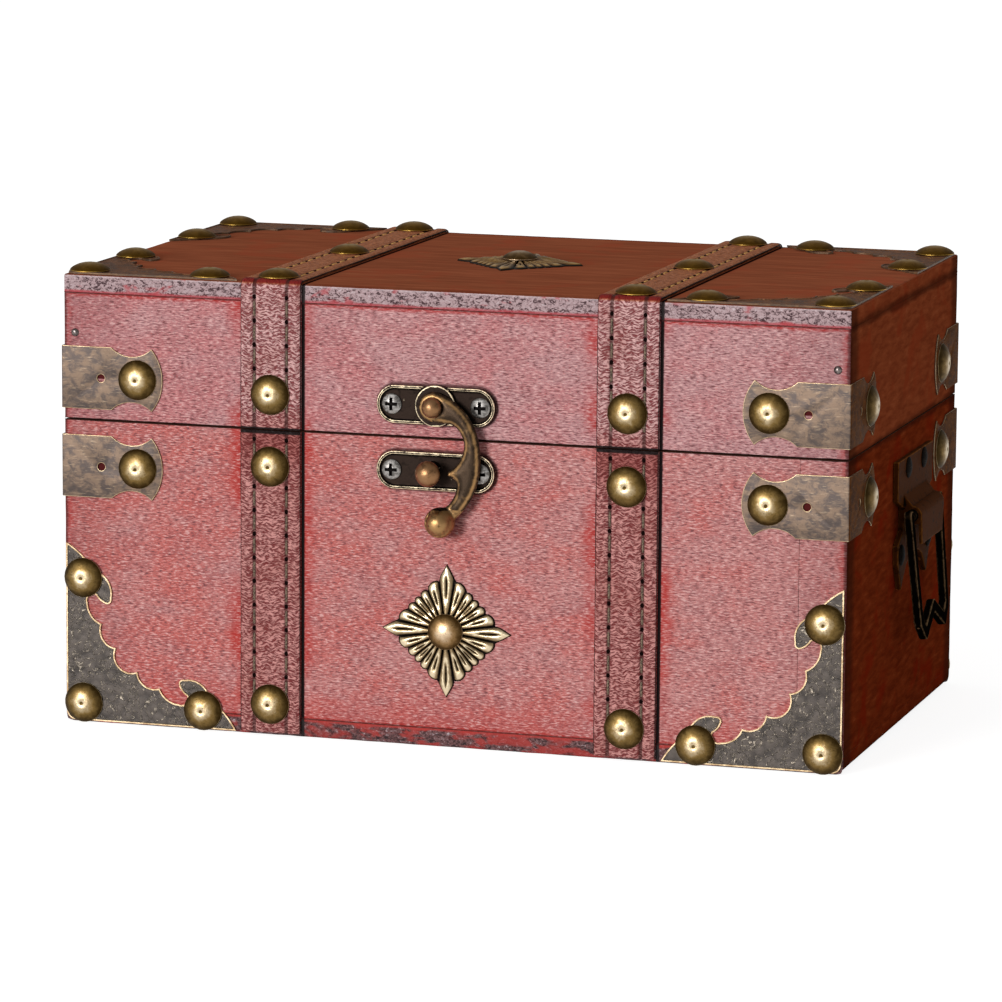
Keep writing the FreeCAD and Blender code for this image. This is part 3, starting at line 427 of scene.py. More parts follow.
# %% The rubbed red front
def rubbed_front(name):
    material, place = new_finish(name, specular=0.06)
    x, _, z = axes(place)
    side = HALF_WIDTH - abs(x)
    from_line = abs(z - FOOT).least(abs(z - TOP_LINE))
    fibres = cloud(place, (0.6, 0.6, 2.7), 3.0, 0.6, 0.35)
    specks = cloud(place, (1.2, 1.2, 3.4), 3.0, 0.65)
    patches = cloud(place, (0.06, 0.06, 0.1), 4.0, 0.6)
    blotches = cloud(place, (0.16, 0.16, 0.3), 3.0, 0.6, 0.6)
    drift = cloud(place, (0.03, 0.03, 0.045), 2.0, 0.5)
    stain = stain_left(x, z, side, from_line, blotches * 5 - 1.6, drift)
    on_lid = ramp(z, SEAM - 0.4, SEAM + 0.6)
    bare = mix(on_lid, (184, 124, 121), (183, 137, 138))
    rosy = mix(on_lid, (188, 98, 92), (184, 116, 117))
    from_seam = abs(z - SEAM_MIDDLE) - SEAM_GAP / 2
    # painted shadow along the right of each strap, together with the dark seam
    shadow_and_seam = strap_shadow_line(x).most(ramp(from_seam - blotches * 0.25, 0.15, -0.05))
    # a painted shadow ring round the latch plates
    latch_shadow_reach = off_latch(x, z, LATCH_LEVEL).least(off_latch(x, z, CATCH_LEVEL)) - blotches * 0.5
    worn = ramp(side - blotches * 1.2, 0.7, 0).most(ramp(from_line - blotches * 0.4, 0.3, 0.05))
    from_hole = abs(side - HOLE_PLACE).most(abs(abs(z - SEAM_MIDDLE) - HOLE_RISE))
    colour = layers(
        mix(ramp(patches - x * 0.001, 0.34, 0.68), bare, rosy),
        (ramp(blotches, 0.52, 0.36) * 0.3, (140, 92, 95)),
        (ramp(fibres, 0.5, 0.66) * 0.75, (222, 180, 176)),
        (ramp(fibres, 0.5, 0.34), (116, 72, 74)),
        (ramp(specks, 0.55, 0.68) * 0.4, (200, 84, 82)),
        (ramp(specks, 0.44, 0.32) * 0.55, (98, 66, 70)),
        (stain * ramp(fibres, 0.8, 0.4) * 0.8, (172, 44, 38)),
        (ramp(side, 24, 1) * 0.22, (104, 60, 62)),
        (shadow_and_seam, STRAP_SHADOW_BLACK),
        (ramp(latch_shadow_reach, 0.7, 0) * 0.8, (46, 16, 15)),
        (worn * 0.7, (58, 28, 28)),
        (ramp(from_hole, 1.6, 1.3), (74, 20, 20)),
    )
    return finish(material, colour, fibres * 0.6 + specks * 0.4, 0.3, 0.5, 0.5 + fibres * 0.3)


# %% Darker mahogany for the sides, top and inside, the sides and top partly as painted shade
def mahogany(name, light, middle, dark, red, per_mm, gloss=0.42, specular=0.0, end_grain=0.0):
    material, place = new_finish(name, specular=specular)
    x, y, z = axes(place)
    grain = cloud(place, per_mm, 4.0, 0.6, 0.3)
    pores = cloud(place, tuple(3 * size for size in per_mm), 2.0, 0.6)
    patches = cloud(place, (0.055, 0.055, 0.07), 3.0, 0.6, 0.4)
    from_face = HALF_DEPTH - abs(y)
    nearest = abs(z - SEAM).least(abs(z)).least(abs(z - TOP_LINE)) - patches * 3
    nearest = nearest.least(from_face * 0.3 + 0.4 - patches * 2)
    on_top = ramp(z, TOP - 1, TOP - 0.5)
    colour = layers(
        mix(ramp(grain, 0.28, 0.7), dark, middle),
        (ramp(grain, 0.58, 0.76) * 0.55, light),
        (ramp(patches, 0.5, 0.66) * 0.7, red),
        (ramp(pores, 0.4, 0.3) * 0.3, dark),
        (ramp(from_face - patches * 4, 9, 3) * end_grain, (58, 32, 22)),
        (ramp(nearest, 0.6, -1) * 0.6, (48, 22, 16)),
        # painted shadow of the straps on the top
        (strap_shadow_line(x) * on_top, STRAP_SHADOW_BLACK),
    )
    return finish(material, colour, grain, 0.1, 0.12, gloss + grain * 0.25)


# %% Worn edges of the top and bottom panels
def worn_edge(name, bare, dark, red, red_from, red_line):
    material, place = new_finish(name, roughness=0.6, specular=0.2)
    x, _, z = axes(place)
    specks = cloud(place, (0.9, 0.9, 1.5), 5.0, 0.72, 0.8)
    patches = cloud(place, (0.09, 0.09, 0.2), 3.0, 0.6, 0.5)
    colour = layers(
        mix(ramp(specks, 0.52, 0.42), bare, dark),
        (ramp(specks, 0.56, 0.68) * 0.6, (206, 196, 200)),
        # a painted highlight along the top of the edge
        (ramp(z, TOP - 1.0, TOP - 0.4) * 0.6, (204, 184, 186)),
        (ramp(patches, red_from, red_from + 0.1) * 0.7, red),
        (ramp(abs(z - red_line) - patches * 1.2, 0.4, -0.3) * 0.8, red),
        # painted shadow of the straps across the top edge
        (strap_shadow_line(x), (20, 10, 10)),
    )
    return finish(material, colour, specks, 0.4, 0.6)


SIDE_GRAIN = (0.12, 0.12, 0.6)
# The side, top and lid side finishes are browner and darker than the front, partly as their own mahogany
# and partly as painted shade; the sides of the base are painted darkest.
WOODS = [
    rubbed_front("rubbed_front_wood"),
    mahogany("side_mahogany_and_shade", (162, 78, 43), (146, 60, 28), (116, 42, 18), (142, 35, 13), SIDE_GRAIN,
             end_grain=0.6),
    mahogany("top_mahogany_and_shade", (170, 100, 70), (160, 89, 61), (138, 76, 52), (160, 78, 53), (0.05, 0.4, 0.4)),
    mahogany("inner_wood", (178, 120, 84), (140, 86, 58), (96, 54, 36), (140, 70, 50), (0.05, 0.4, 0.5),
             gloss=0.6, specular=0.2),
    worn_edge("worn_top_edge", (174, 147, 149), (66, 42, 46), (176, 66, 72), 0.56, TOP_LINE),
    worn_edge("worn_foot_edge", (104, 70, 70), (40, 26, 28), (170, 52, 46), 0.5, FOOT),
    mahogany("lid_side_mahogany", (180, 98, 62), (170, 85, 50), (142, 65, 37), (163, 67, 37), SIDE_GRAIN,
             end_grain=0.6),
]
FRONT, SIDE, TOP_FACE, INNER, TOP_EDGE, FOOT_EDGE, LID_SIDE = range(len(WOODS))
print("wood finishes:", [material.name for material in WOODS])

# %% [markdown]
# ## Boards
#
# A board is a box whose edges were sanded and have since been knocked about. Each one starts as a
# cube of the board's own size, is ruled into small squares, gets a larger bevel on the edges that
# hands touch and a fine one where boards meet, and is then worn inwards a little with a cloud
# texture, more along its edges. Wearing only inwards keeps it inside the construction's box. The
# front of the base is two lengths end to end, so a fine joint shows near its right end.

# %% Rule, round and wear a board
SQUARE = 3.2 * MM
FOOT_ROUND = 2.9 * MM
EDGE_SHARE = 0.2
JOINT_SHARE = 0.03
DENT_DEPTH = 0.06 * MM
CHIP_DEPTH = 0.18 * MM

textures = {}
for name, size in (("dents", 14 * MM), ("chips", 4 * MM)):
    textures[name] = bpy.data.textures.new(name, "CLOUDS")
    textures[name].noise_scale = size


def block(name, low, high):
    """A cube from one corner to another, ruled into small squares."""
    bpy.ops.mesh.primitive_cube_add(size=1)
    piece = bpy.context.active_object
    piece.location = (low + high) / 2
    piece.scale = high - low
    piece = fresh(name)
    for axis in range(3):
        cuts = round((high - low)[axis] / SQUARE) - 2
        with editing(piece, "EDGE", lambda a, b: abs((a - b)[axis]) > 2 * NEAR):
            if cuts > 0:
                bpy.ops.mesh.subdivide(number_cuts=cuts)
    return piece


def on_box_edge(point, low, high):
    """How many faces of a block a point lies on."""
    return sum(min(abs(point[axis] - low[axis]), abs(point[axis] - high[axis])) < NEAR for axis in range(3))


def on_outside(point):
    """How many faces of the whole wooden box a point lies on."""
    return ((abs(abs(point.x) - HALF_WIDTH * MM) < NEAR) + (abs(abs(point.y) - HALF_DEPTH * MM) < NEAR)
            + (abs(point.z) < NEAR) + (abs(point.z - TOP * MM) < NEAR))


def rounding(point):
    """Share of the largest rounding that an edge of a board gets: most at the feet of the sides."""
    if on_outside(point) < 2:
        return JOINT_SHARE
    return 1.0 if point.z < NEAR and abs(point.y) < HALF_DEPTH * MM - NEAR else EDGE_SHARE


def wear(piece, texture, depth, **more):
    """Press a cloud texture into a piece, to a depth at most."""
    shape(piece, "DISPLACE", texture=textures[texture], texture_coords="LOCAL", mid_level=1.0,
          strength=depth, **more)


def round_and_wear(piece, low, high):
    mesh = piece.data
    weight = mesh.attributes.new("bevel_weight_edge", "FLOAT", "EDGE")
    rim = piece.vertex_groups.new(name="rim")
    for edge in mesh.edges:
        ends = [mesh.vertices[end].co for end in edge.vertices]
        middle = (ends[0] + ends[1]) / 2
        if on_box_edge(middle, low, high) >= 2:
            weight.data[edge.index].value = rounding(middle)
            if on_outside(middle) >= 2:
                rim.add(list(edge.vertices), 1.0, "REPLACE")
    shape(piece, "BEVEL", width=FOOT_ROUND, segments=3, limit_method="WEIGHT", offset_type="OFFSET")
    wear(piece, "dents", DENT_DEPTH)
    wear(piece, "chips", CHIP_DEPTH, vertex_group="rim")
    smooth(piece, 50)


print("squares of", SQUARE / MM, "mm")

# %% The ten boards of the base and lid
FRONT_JOINT = 97 * MM
SKIN = 1.2
LINE_PLAY = 0.2


def wood_for(place, normal):
    """Which of the wood finishes a face shows, by its place in millimetres."""
    side_skin = FOOT_ROUND / MM if place.z < FOOT_ROUND / MM else SKIN
    if place.z > TOP - SKIN and normal.z > 0.5:
        return TOP_FACE
    if abs(place.y) > HALF_DEPTH - SKIN and abs(normal.y) > 0.5:
        above = place.z > TOP_LINE + LINE_PLAY
        return TOP_EDGE if above else FOOT_EDGE if place.z < FOOT - LINE_PLAY else FRONT
    if abs(place.x) > HALF_WIDTH - side_skin:
        return LID_SIDE if place.z > SEAM else SIDE
    return INNER


def board(node, splits=()):
    """One worn board for a wooden node, cut into lengths where splits say."""
    low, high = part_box(node)
    stops = [low.x, *splits, high.x]
    lengths = []
    for first, last in zip(stops, stops[1:]):
        near, far = Vector((first, low.y, low.z)), Vector((last, high.y, high.z))
        piece = block(node + "_length", near, far)
        round_and_wear(piece, near, far)
        lengths.append(piece)
    piece = joined(lengths, node + "_wood")
    dress(piece, *WOODS)
    for face in piece.data.polygons:
        face.material_index = wood_for(face.center / MM, face.normal)
    settle(piece, node)
    return piece


for node in [name for name, slot in slot_of.items() if slot == "stained_wood"]:
    made = board(node, (FRONT_JOINT,) if node == "base_front_panel" else ())
    print(made.name, len(made.data.polygons), "faces")

# %% [markdown]
# ## Where the domed nails sit
#
# The construction holds all nails of one body as one node. A copy of it, split into loose pieces,
# gives each nail's place: the short side of its box is the nail's own axis, and the head is at
# the outer end.

# %% Find the nails
STUD = {"radius": 5.5, "rim": 0.3, "rise": 2.0, "dimple": 0.3}
STUD_HEIGHT = (STUD["rim"] + STUD["rise"]) * MM


def nail_places(node, height, axis_length=min):
    """Seat and outward direction of each nail in a node whose heads have a height."""
    cluster = copy_of(node, "cluster")
    with editing(cluster):
        bpy.ops.mesh.separate(type="LOOSE")
    places = []
    for piece in list(bpy.context.selected_objects):
        corners = [vertex.co for vertex in piece.data.vertices]
        low = Vector(min(corner[axis] for corner in corners) for axis in range(3))
        high = Vector(max(corner[axis] for corner in corners) for axis in range(3))
        axis = axis_length(range(3), key=lambda index: (high - low)[index])
        seat = (low + high) / 2
        outward = Vector((0, 0, 0))
        outward[axis] = 1.0 if axis == 2 or seat[axis] > 0 else -1.0
        seat[axis] = (high if outward[axis] > 0 else low)[axis] - outward[axis] * height
        places.append((seat, outward))
        bpy.data.objects.remove(piece)
    return places


nails = {node: nail_places(node, STUD_HEIGHT) for node in ("base_studs", "lid_studs")}
print("domed nails:", {node: len(places) for node, places in nails.items()})

# %% [markdown]
# ## Leather straps
#
# The straps are thick wrinkled leather with a sewn channel along each side. A strap is a grid laid
# along its path: up the front of the base, or from the seam up over the lid and down the back.
# Across it, the grid is crowned, drops into the two channels and rounds off at the edges, and it
# is pulled down where a nail holds it. Solidify then gives the leather its thickness.

# %% Leather, dark at its cut edges, with painted shade in its channels and browner on the top partly as painted shade
CHANNEL = 4.6


def strap_leather():
    material, place = new_finish("strap_leather", specular=0.12)
    x, y, z = axes(place)
    across = abs(abs(x) - STRAP_MIDDLE)
    zigzag = x.node("ShaderNodeMath", {"operation": "PINGPONG"}, {0: x, 1: 1.7})
    run = z + abs(y) + zigzag * 0.3 + cloud(place, 0.2, 2.0) * 1.2
    grain = x.node("ShaderNodeCombineXYZ", {}, {0: x * 0.75, 1: run * 2.6, 2: across * 0.4})
    pebbles = ramp(cloud(grain, 1.0, 2.0, 0.5, 0.35), 0.38, 0.6)
    worn = cloud(place, 0.06, 3.0, 0.6)
    lower = mix(pebbles, (112, 46, 46), (198, 138, 133))
    upper = mix(pebbles, (122, 56, 58), (212, 166, 163))
    rubbed = mix(pebbles, (118, 50, 48), (170, 108, 100))
    dark_red = mix(pebbles, (92, 26, 24), (142, 58, 52))
    brown = mix(pebbles, (136, 74, 42), (194, 118, 72))
    under_seam = ramp(z, SEAM - 15, SEAM - 4) * ramp(z, SEAM + 0.5, SEAM)
    at_bend = ramp(z, TOP - 0.4, TOP + 0.3) * ramp(abs(y), HALF_DEPTH - 3, HALF_DEPTH - 1)
    # painted shade in the sewn channels
    channel = ramp(abs(across - CHANNEL), 0.75, 0.3)
    cut = ramp(across, STRAP_HALF - 0.5, STRAP_HALF - 0.2).most(ramp(abs(z - SEAM), 1.1, 0.7))
    colour = layers(
        mix(ramp(z, SEAM, SEAM + 8), lower, upper),
        (ramp(worn, 0.46, 0.66) * 0.5, rubbed),
        (under_seam * 0.6, dark_red),
        # browner on the top, as the top wood is: partly the leather's own tone, partly painted shade
        (ramp(z, TOP - 0.6, TOP + 0.2), brown),
        (at_bend, (118, 30, 26)),
        (channel * 0.75, (52, 24, 20)),
        (cut, (26, 14, 13)),
    )
    return finish(material, colour, pebbles, 0.22, 0.9, 0.62 - pebbles * 0.14)


leather = strap_leather()
print(leather.name, "ready")

# %% The paths that the straps follow
STRAP_THICK = (strap_high.y - strap_low.y) * MM
BEND = 2.4 * MM
STEP = 1.6 * MM


def straight(start, end, normal):
    """Points and outward normals along a straight run, in the plane across the strap."""
    count = max(2, round((end - start).length / STEP))
    return [(start.lerp(end, index / count), normal) for index in range(count + 1)]


def bend(centre, radius, start, end, count=8):
    """Points and normals round a bend, between two angles in degrees."""
    turned = [math.radians(start + (end - start) * index / count) for index in range(1, count)]
    outs = [Vector((math.cos(turn), math.sin(turn))) for turn in turned]
    return [(centre + radius * out, out) for out in outs]


def base_path(node):
    low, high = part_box(node)
    outward = 1.0 if low.y > 0 else -1.0
    face = outward * HALF_DEPTH * MM
    return straight(Vector((face, low.z)), Vector((face, high.z)), Vector((outward, 0)))


def lid_path(node):
    """Up the front of the lid, over its top and down its back."""
    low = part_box(node)[0]
    wood = BEND - STRAP_THICK
    face, top = HALF_DEPTH * MM, TOP * MM
    path = straight(Vector((-face, low.z)), Vector((-face, top - wood)), Vector((-1, 0)))
    path += bend(Vector((-face + wood, top - wood)), wood, 180, 90)
    path += straight(Vector((-face + wood, top)), Vector((face - wood, top)), Vector((0, 1)))
    path += bend(Vector((face - wood, top - wood)), wood, 90, 0)
    return path + straight(Vector((face, top - wood)), Vector((face, low.z)), Vector((1, 0)))


print("lid strap path has", len(lid_path("lid_strap_left")), "rows")

# %% Lay a strap along its path
COLUMNS = 36
LEATHER = 0.9 * MM
CHANNEL_DEPTH = 0.35 * MM
CHANNEL_SPREAD = 0.6
EDGE_WIDTH, EDGE_DROP = 1.2, 0.42
CROWN = 0.08
WAVER = 0.12
SLACK = 0.15
DIP_DEPTH = 0.2 * MM
DIP_REACH = 7.5 * MM


def leather_height(across):
    """Height of the leather over the wood at a distance in mm from the strap's middle line."""
    edge = max(0.0, (abs(across) - (STRAP_HALF - EDGE_WIDTH)) / EDGE_WIDTH)
    channel = math.exp(-((abs(across) - CHANNEL) / CHANNEL_SPREAD) ** 2)
    crown = CROWN * (across / STRAP_HALF) ** 2
    return STRAP_THICK - (EDGE_DROP * edge ** 2 + crown) * MM - channel * CHANNEL_DEPTH


def strap_line(node, seats):
    """The middle of a strap from left to right, and the nails that hold it."""
    middle = (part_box(node)[0].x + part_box(node)[1].x) / 2
    return middle, [seat for seat, _ in seats if abs(seat.x - middle) < STRAP_HALF * MM]


def in_space(side, point):
    """A place or direction from its side and its two values in the plane across a strap."""
    return Vector((side, point[0], point[1]))


def strap(node, path, seats):
    middle, held = strap_line(node, seats)
    last = len(path) - 1
    bpy.ops.mesh.primitive_grid_add(x_subdivisions=COLUMNS, y_subdivisions=last, size=1)
    piece = fresh(node + "_leather")
    for vertex in piece.data.vertices:
        row = round((vertex.co.y + 0.5) * last)
        point, normal = path[row]
        waver = WAVER * noise.noise((row * 0.21, middle * 90, math.copysign(3, vertex.co.x)))
        across = vertex.co.x * 2 * (STRAP_HALF - SLACK + waver)
        bare = in_space(middle + across * MM, point)
        near = min(((seat - bare).length for seat in held), default=1.0)
        dip = DIP_DEPTH * max(0.0, 1 - (near / DIP_REACH) ** 2)
        vertex.co = bare + (leather_height(across) - dip) * in_space(0, normal)
    face_outwards(piece)
    middle_face = piece.data.polygons[len(piece.data.polygons) // 2]
    if middle_face.normal.dot(in_space(0, path[len(path) // 2][1])) < 0:
        with editing(piece):
            bpy.ops.mesh.flip_normals()
    shape(piece, "SOLIDIFY", thickness=LEATHER, offset=-1.0)
    smooth(piece, 60)
    dress(piece, leather)
    settle(piece, node)
    return piece


print("leather is", round(leather_height(0) / MM, 2), "mm high along its middle")

# %% [markdown]
# ## Stitches
#
# The stitches are short capsules lying in the channels, one modelled and copied along the path,
# with a flattened black ball of painted shade where the needle went in before the next one. Each
# strap's stitches are one piece, which rides with the strap.

# %% One stitch and the painted shade of its needle hole
STITCH_PITCH = 6.5 * MM
STITCH_LENGTH = 4.9 * MM
STITCH_THICK = 0.36 * MM
NEEDLE_HOLE = 0.65 * MM
HOLE_FLATTENED = 0.4


def sewing_thread():
    material, place = new_finish("sewing_thread", roughness=0.7, specular=0.3)
    z = axes(place)[2]
    twist = cloud(place, 2.2, 2.0, 0.5)
    colour = mix(ramp(twist, 0.35, 0.65), (66, 54, 44), (128, 110, 90))
    # the thread is painted golden on the top: a painted highlight
    colour = mix(ramp(z, TOP + 0.3, TOP + 0.6), colour, (220, 164, 88))
    return finish(material, colour, twist, 0.2, 0.6)


def stitch_model():
    """A plump thread lying along Y, its ends turned down into their holes."""
    bpy.ops.mesh.primitive_cube_add(size=1)
    bpy.context.active_object.scale = (2 * STITCH_THICK, STITCH_LENGTH, 1.6 * STITCH_THICK)
    piece = fresh("stitch")
    with editing(piece, "EDGE", lambda a, b: abs(a.y - b.y) > NEAR):
        bpy.ops.mesh.subdivide(number_cuts=3)
    shape(piece, "SUBSURF", levels=1, render_levels=1)
    for vertex in piece.data.vertices:
        vertex.co.z -= STITCH_THICK * (2 * vertex.co.y / STITCH_LENGTH) ** 4
    dress(piece, sewing_thread())
    # a flattened black ball stands in as the painted shade of the needle hole
    bpy.ops.mesh.primitive_ico_sphere_add(subdivisions=2, radius=NEEDLE_HOLE)
    bpy.context.active_object.scale.z = HOLE_FLATTENED
    bpy.context.active_object.location.y = STITCH_PITCH / 2
    hole = fresh("needle_hole")
    needle_hole_shade, _ = new_finish("needle_hole_shade", 0.8, specular=0.0)
    inputs_of(needle_hole_shade)["Base Color"].default_value = tone((20, 11, 10))
    dress(hole, needle_hole_shade)
    return joined([piece, hole], "stitch")


stitch = stitch_model()
print("one stitch has", len(stitch.data.polygons), "faces")

# %% Sew the straps
THREAD_LIFT = 0.04 * MM
NAIL_ROOM = 5.4 * MM
STRAIGHT_RUN = 0.999
ACROSS = Vector((1, 0, 0))


def sew(node, path, seats):
    """Copy the stitch along both channels of a strap, skipping its bends and nails."""
    middle, held = strap_line(node, seats)
    height = leather_height(CHANNEL) + THREAD_LIFT
    copies = []
    gone = [0.0]
    for (first, _), (second, _) in zip(path, path[1:]):
        gone.append(gone[-1] + (second - first).length)
    count = int((gone[-1] - STITCH_PITCH / 2) / STITCH_PITCH)
    start = (gone[-1] - count * STITCH_PITCH) / 2 + STITCH_PITCH / 2
    for number in range(count):
        place = start + number * STITCH_PITCH
        index = max(i for i, length in enumerate(gone) if length <= place)
        share = (place - gone[index]) / (gone[index + 1] - gone[index])
        point = path[index][0].lerp(path[index + 1][0], share)
        normal = path[index][1].lerp(path[index + 1][1], share).normalized()
        if max(abs(normal[0]), abs(normal[1])) < STRAIGHT_RUN:
            continue
        out = in_space(0, normal)
        turned = Matrix((ACROSS, -ACROSS.cross(out), out)).transposed().to_4x4()
        for side in (-1, 1):
            seat = in_space(middle + side * CHANNEL * MM, point)
            if all((seat - nail).length >= NAIL_ROOM for nail in held):
                turned.translation = seat + height * out
                copies.append(placed(stitch, turned))
    piece = joined(copies, node + "_stitches")
    face_outwards(piece)
    smooth(piece, 60)
    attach(piece, body_of[node])
    return piece


for node in [name for name, slot in slot_of.items() if slot == "leather"]:
    on_lid = node.startswith("lid")
    path = lid_path(node) if on_lid else base_path(node)
    seats = nails["lid_studs" if on_lid else "base_studs"]
    made = strap(node, path, seats)
    sewn = sew(node, path, seats)
    print(made.name, len(made.data.polygons), "faces,", sewn.name, len(sewn.data.polygons))
bpy.data.objects.remove(stitch)

# %% [markdown]
# ## Domed nails
#
# A nail head is pressed from sheet: a dome with a small dimple from the die and a rolled rim. Its
# profile is spun once round the nail's axis and the finished head is copied to every place. A
# point attribute keeps how far out on the dome a point lies, so the patina can gather low on the
# dome and in the dimple, while the rim itself is kept bright, partly as rubbed metal and partly as a
# painted glint. The nails on the top take a browner copy of the brass, as painted shade.

# %% Aged brass with patina at the rim
def aged_brass(name, bright, middle, patina, dark_from=0.45):
    material, place = new_finish(name, metallic=1.0)
    spots = cloud(place, 0.5, 4.0, 0.65, 0.4)
    fine = cloud(place, 2.0, 3.0, 0.6)
    shade = kept_value(place, "reach") + (spots - 0.5) * 0.7
    colour = layers(
        mix(ramp(shade, 0.1, dark_from + 0.15), bright, middle),
        (ramp(shade, dark_from, 1.0), patina),
        (ramp(fine, 0.42, 0.3) * 0.6, patina),
    )
    roughness = 0.32 + ramp(shade, 0.3, 1.0) * 0.24 + fine * 0.12
    return finish(material, colour, fine * 0.5 + spots * 0.5, 0.12, 0.5, roughness)


stud_brass = aged_brass("stud_brass", (192, 174, 142), (124, 100, 58), (58, 43, 18))
top_brass_painted_shade = aged_brass("top_brass_painted_shade", (176, 142, 72), (136, 100, 34), (84, 58, 14))
boss_brass = aged_brass("boss_brass", (200, 176, 146), (138, 108, 70), (70, 50, 22), 0.5)
print("brass:", stud_brass.name, top_brass_painted_shade.name, boss_brass.name)

# %% Spin a nail head from its profile
DOME_RINGS = 9
SPIN_STEPS = 28
DIMPLE_SHARE = 0.1
DIMPLE_PATINA, RIM_RUB_AND_GLINT = 0.8, 0.3


def head_profile(rim, rise, dimple):
    """Distance from the axis, as a share of the radius, and height of each ring of a head."""
    top = rim + rise
    rings = [(0.0, top - dimple), (0.06, top - dimple * 0.9), (0.12, top - 0.03)]
    for ring in range(2, DOME_RINGS + 1):
        turn = math.radians(90) * ring / DOME_RINGS
        rings.append((math.sin(turn) * 0.985, rim + rise * math.cos(turn) ** 1.5))
    return rings + [(1.0, rim * 0.8), (1.0, rim * 0.25), (0.97, 0.0)]


def domed_head(name, radius, rim, rise, dimple=0.0):
    """A head whose flat back is on z = 0 and whose dome points up."""
    bpy.ops.mesh.primitive_plane_add(size=1)
    piece = fresh(name)
    with editing(piece):
        bpy.ops.mesh.delete(type="VERT")
    points = [(share * radius * MM, 0.0, height * MM) for share, height in head_profile(rim, rise, dimple)]
    piece.data.from_pydata(points, [(index, index + 1) for index in range(len(points) - 1)], [])
    with editing(piece):
        bpy.ops.mesh.spin(steps=SPIN_STEPS, angle=math.tau, center=(0, 0, 0), axis=(0, 0, 1))
    face_outwards(piece, merge=True)
    cap(piece, lambda a, b: max(a.z, b.z) < NEAR)
    reach = piece.data.attributes.new("reach", "FLOAT", "POINT")
    for vertex in piece.data.vertices:
        share = vertex.co.xy.length / (radius * MM)
        in_dimple = share < DIMPLE_SHARE and dimple > 0
        on_rim = vertex.co.z < rim * MM - NEAR
        # the rim keeps little patina: rubbed metal and a painted glint along the edge
        patina = DIMPLE_PATINA if in_dimple else RIM_RUB_AND_GLINT if on_rim else min(1.0, share)
        reach.data[vertex.index].value = patina
    smooth(piece, 50)
    return piece


def copy_onto(model, seat, outward, turn):
    """Copy a head to a seat, facing outward and turned about its own axis."""
    stand = outward.to_track_quat("Z", "Y").to_matrix().to_4x4() @ Matrix.Rotation(turn, 4, "Z")
    stand.translation = seat
    return placed(model, stand)


# %% Set the nails
NAIL_TURN = 2.4
stud = domed_head("stud", **STUD)
for node, places in nails.items():
    heads = [copy_onto(stud, *place, index * NAIL_TURN) for index, place in enumerate(places)]
    piece = joined(heads, node + "_domes")
    # the nails on the top take the browner copy of the brass: painted shade
    dress(piece, stud_brass, top_brass_painted_shade)
    for face in piece.data.polygons:
        face.material_index = int(face.center.z > TOP * MM)
    settle(piece, node)
    print(piece.name, len(heads), "heads")
bpy.data.objects.remove(stud)

# %% [markdown]
# ## Sheet trim
#
# The clips and corner plates are cut from thin sheet. Their outlines come from the construction,
# so each is a copy of its node. A corner plate has a bright raised rim round a dark hammered
# field: an inset leaves the rim, the field inside it is filled again with one clean face, and a
# second inset sinks it. The plates on the lid take a duller rim and a browner field, as painted
# shade. The clips only get small bevels, which take a brighter metal because that is where
# fingers rub, and their side legs take a brown finish that paints the shade of the box's sides.

# %% Sheet finishes
def sheet_metal(name, light, middle, dark, per_mm, rough, depth=0.2, metallic=1.0, specular=0.5):
    material, place = new_finish(name, metallic=metallic, specular=specular)
    blots = cloud(place, per_mm, 4.0, 0.62, 0.6)
    scratches = cloud(place, (0.35, 0.35, 2.6), 3.0, 0.6, 0.3)
    pits = cloud(place, 1.3, 3.0, 0.6)
    colour = layers(
        mix(ramp(blots, 0.36, 0.64), dark, middle),
        (ramp(scratches, 0.55, 0.75) * 0.7, light),
        (ramp(pits, 0.42, 0.3) * 0.6, dark),
    )
    height = blots * 0.5 + scratches * 0.2 + pits * 0.3
    return finish(material, colour, height, depth, 0.6, rough + blots * 0.2 - scratches * 0.1)


def hammered(name, light, middle, dark, depth, metallic, specular=0.5):
    """Sheet beaten with a round hammer and scratched in every direction."""
    material, place = new_finish(name, metallic=metallic, specular=specular)
    blows = place.node("ShaderNodeTexVoronoi", {"feature": "SMOOTH_F1"},
                       {"Vector": place, "Scale": 0.42, "Smoothness": 0.4})
    wander = cloud(place, 0.22, 3.0, 0.5, 2.2)
    pits = cloud(place, 1.3, 3.0, 0.6)
    scratch = ramp(abs(wander - 0.5), 0.03, 0.0)
    colour = layers(
        mix(ramp(blows + pits * 0.2, 0.35, 1.0), middle, dark),
        (scratch * ramp(pits, 0.38, 0.56) * 0.9, light),
        (ramp(pits, 0.42, 0.3) * 0.2, dark),
    )
    height = blows * -0.3 + scratch * 0.5 + pits * 0.1
    return finish(material, colour, height, depth, 0.6, 0.5 - blows * 0.15)


CLIP_BLOTS = (0.3, 0.3, 0.42)
clip_sheet = sheet_metal("clip_bronze", (164, 143, 118), (120, 100, 84), (76, 66, 62), CLIP_BLOTS, 0.5,
                         metallic=0.7)
clip_leg_shade = sheet_metal("clip_leg_painted_shade", (146, 94, 44), (110, 65, 26), (70, 40, 15), CLIP_BLOTS, 0.6,
                         metallic=0.0, specular=0.03)
bright_edge = sheet_metal("rubbed_edge", (236, 218, 186), (214, 190, 152), (160, 132, 96), 0.4, 0.36, 0.1,
                          metallic=0.7)
dull_edge = sheet_metal("dull_edge", (140, 106, 72), (104, 74, 48), (66, 46, 30), 0.4, 0.5, 0.1,
                        metallic=0.4)
plate_field = hammered("plate_field", (168, 156, 140), (74, 67, 62), (50, 45, 42), 0.4, 0.7)
lid_plate_field_painted_shade = hammered("lid_plate_field_painted_shade", (156, 110, 78), (116, 76, 50), (76, 48, 32), 0.5, 0.0, 0.03)
print("sheet finishes ready")

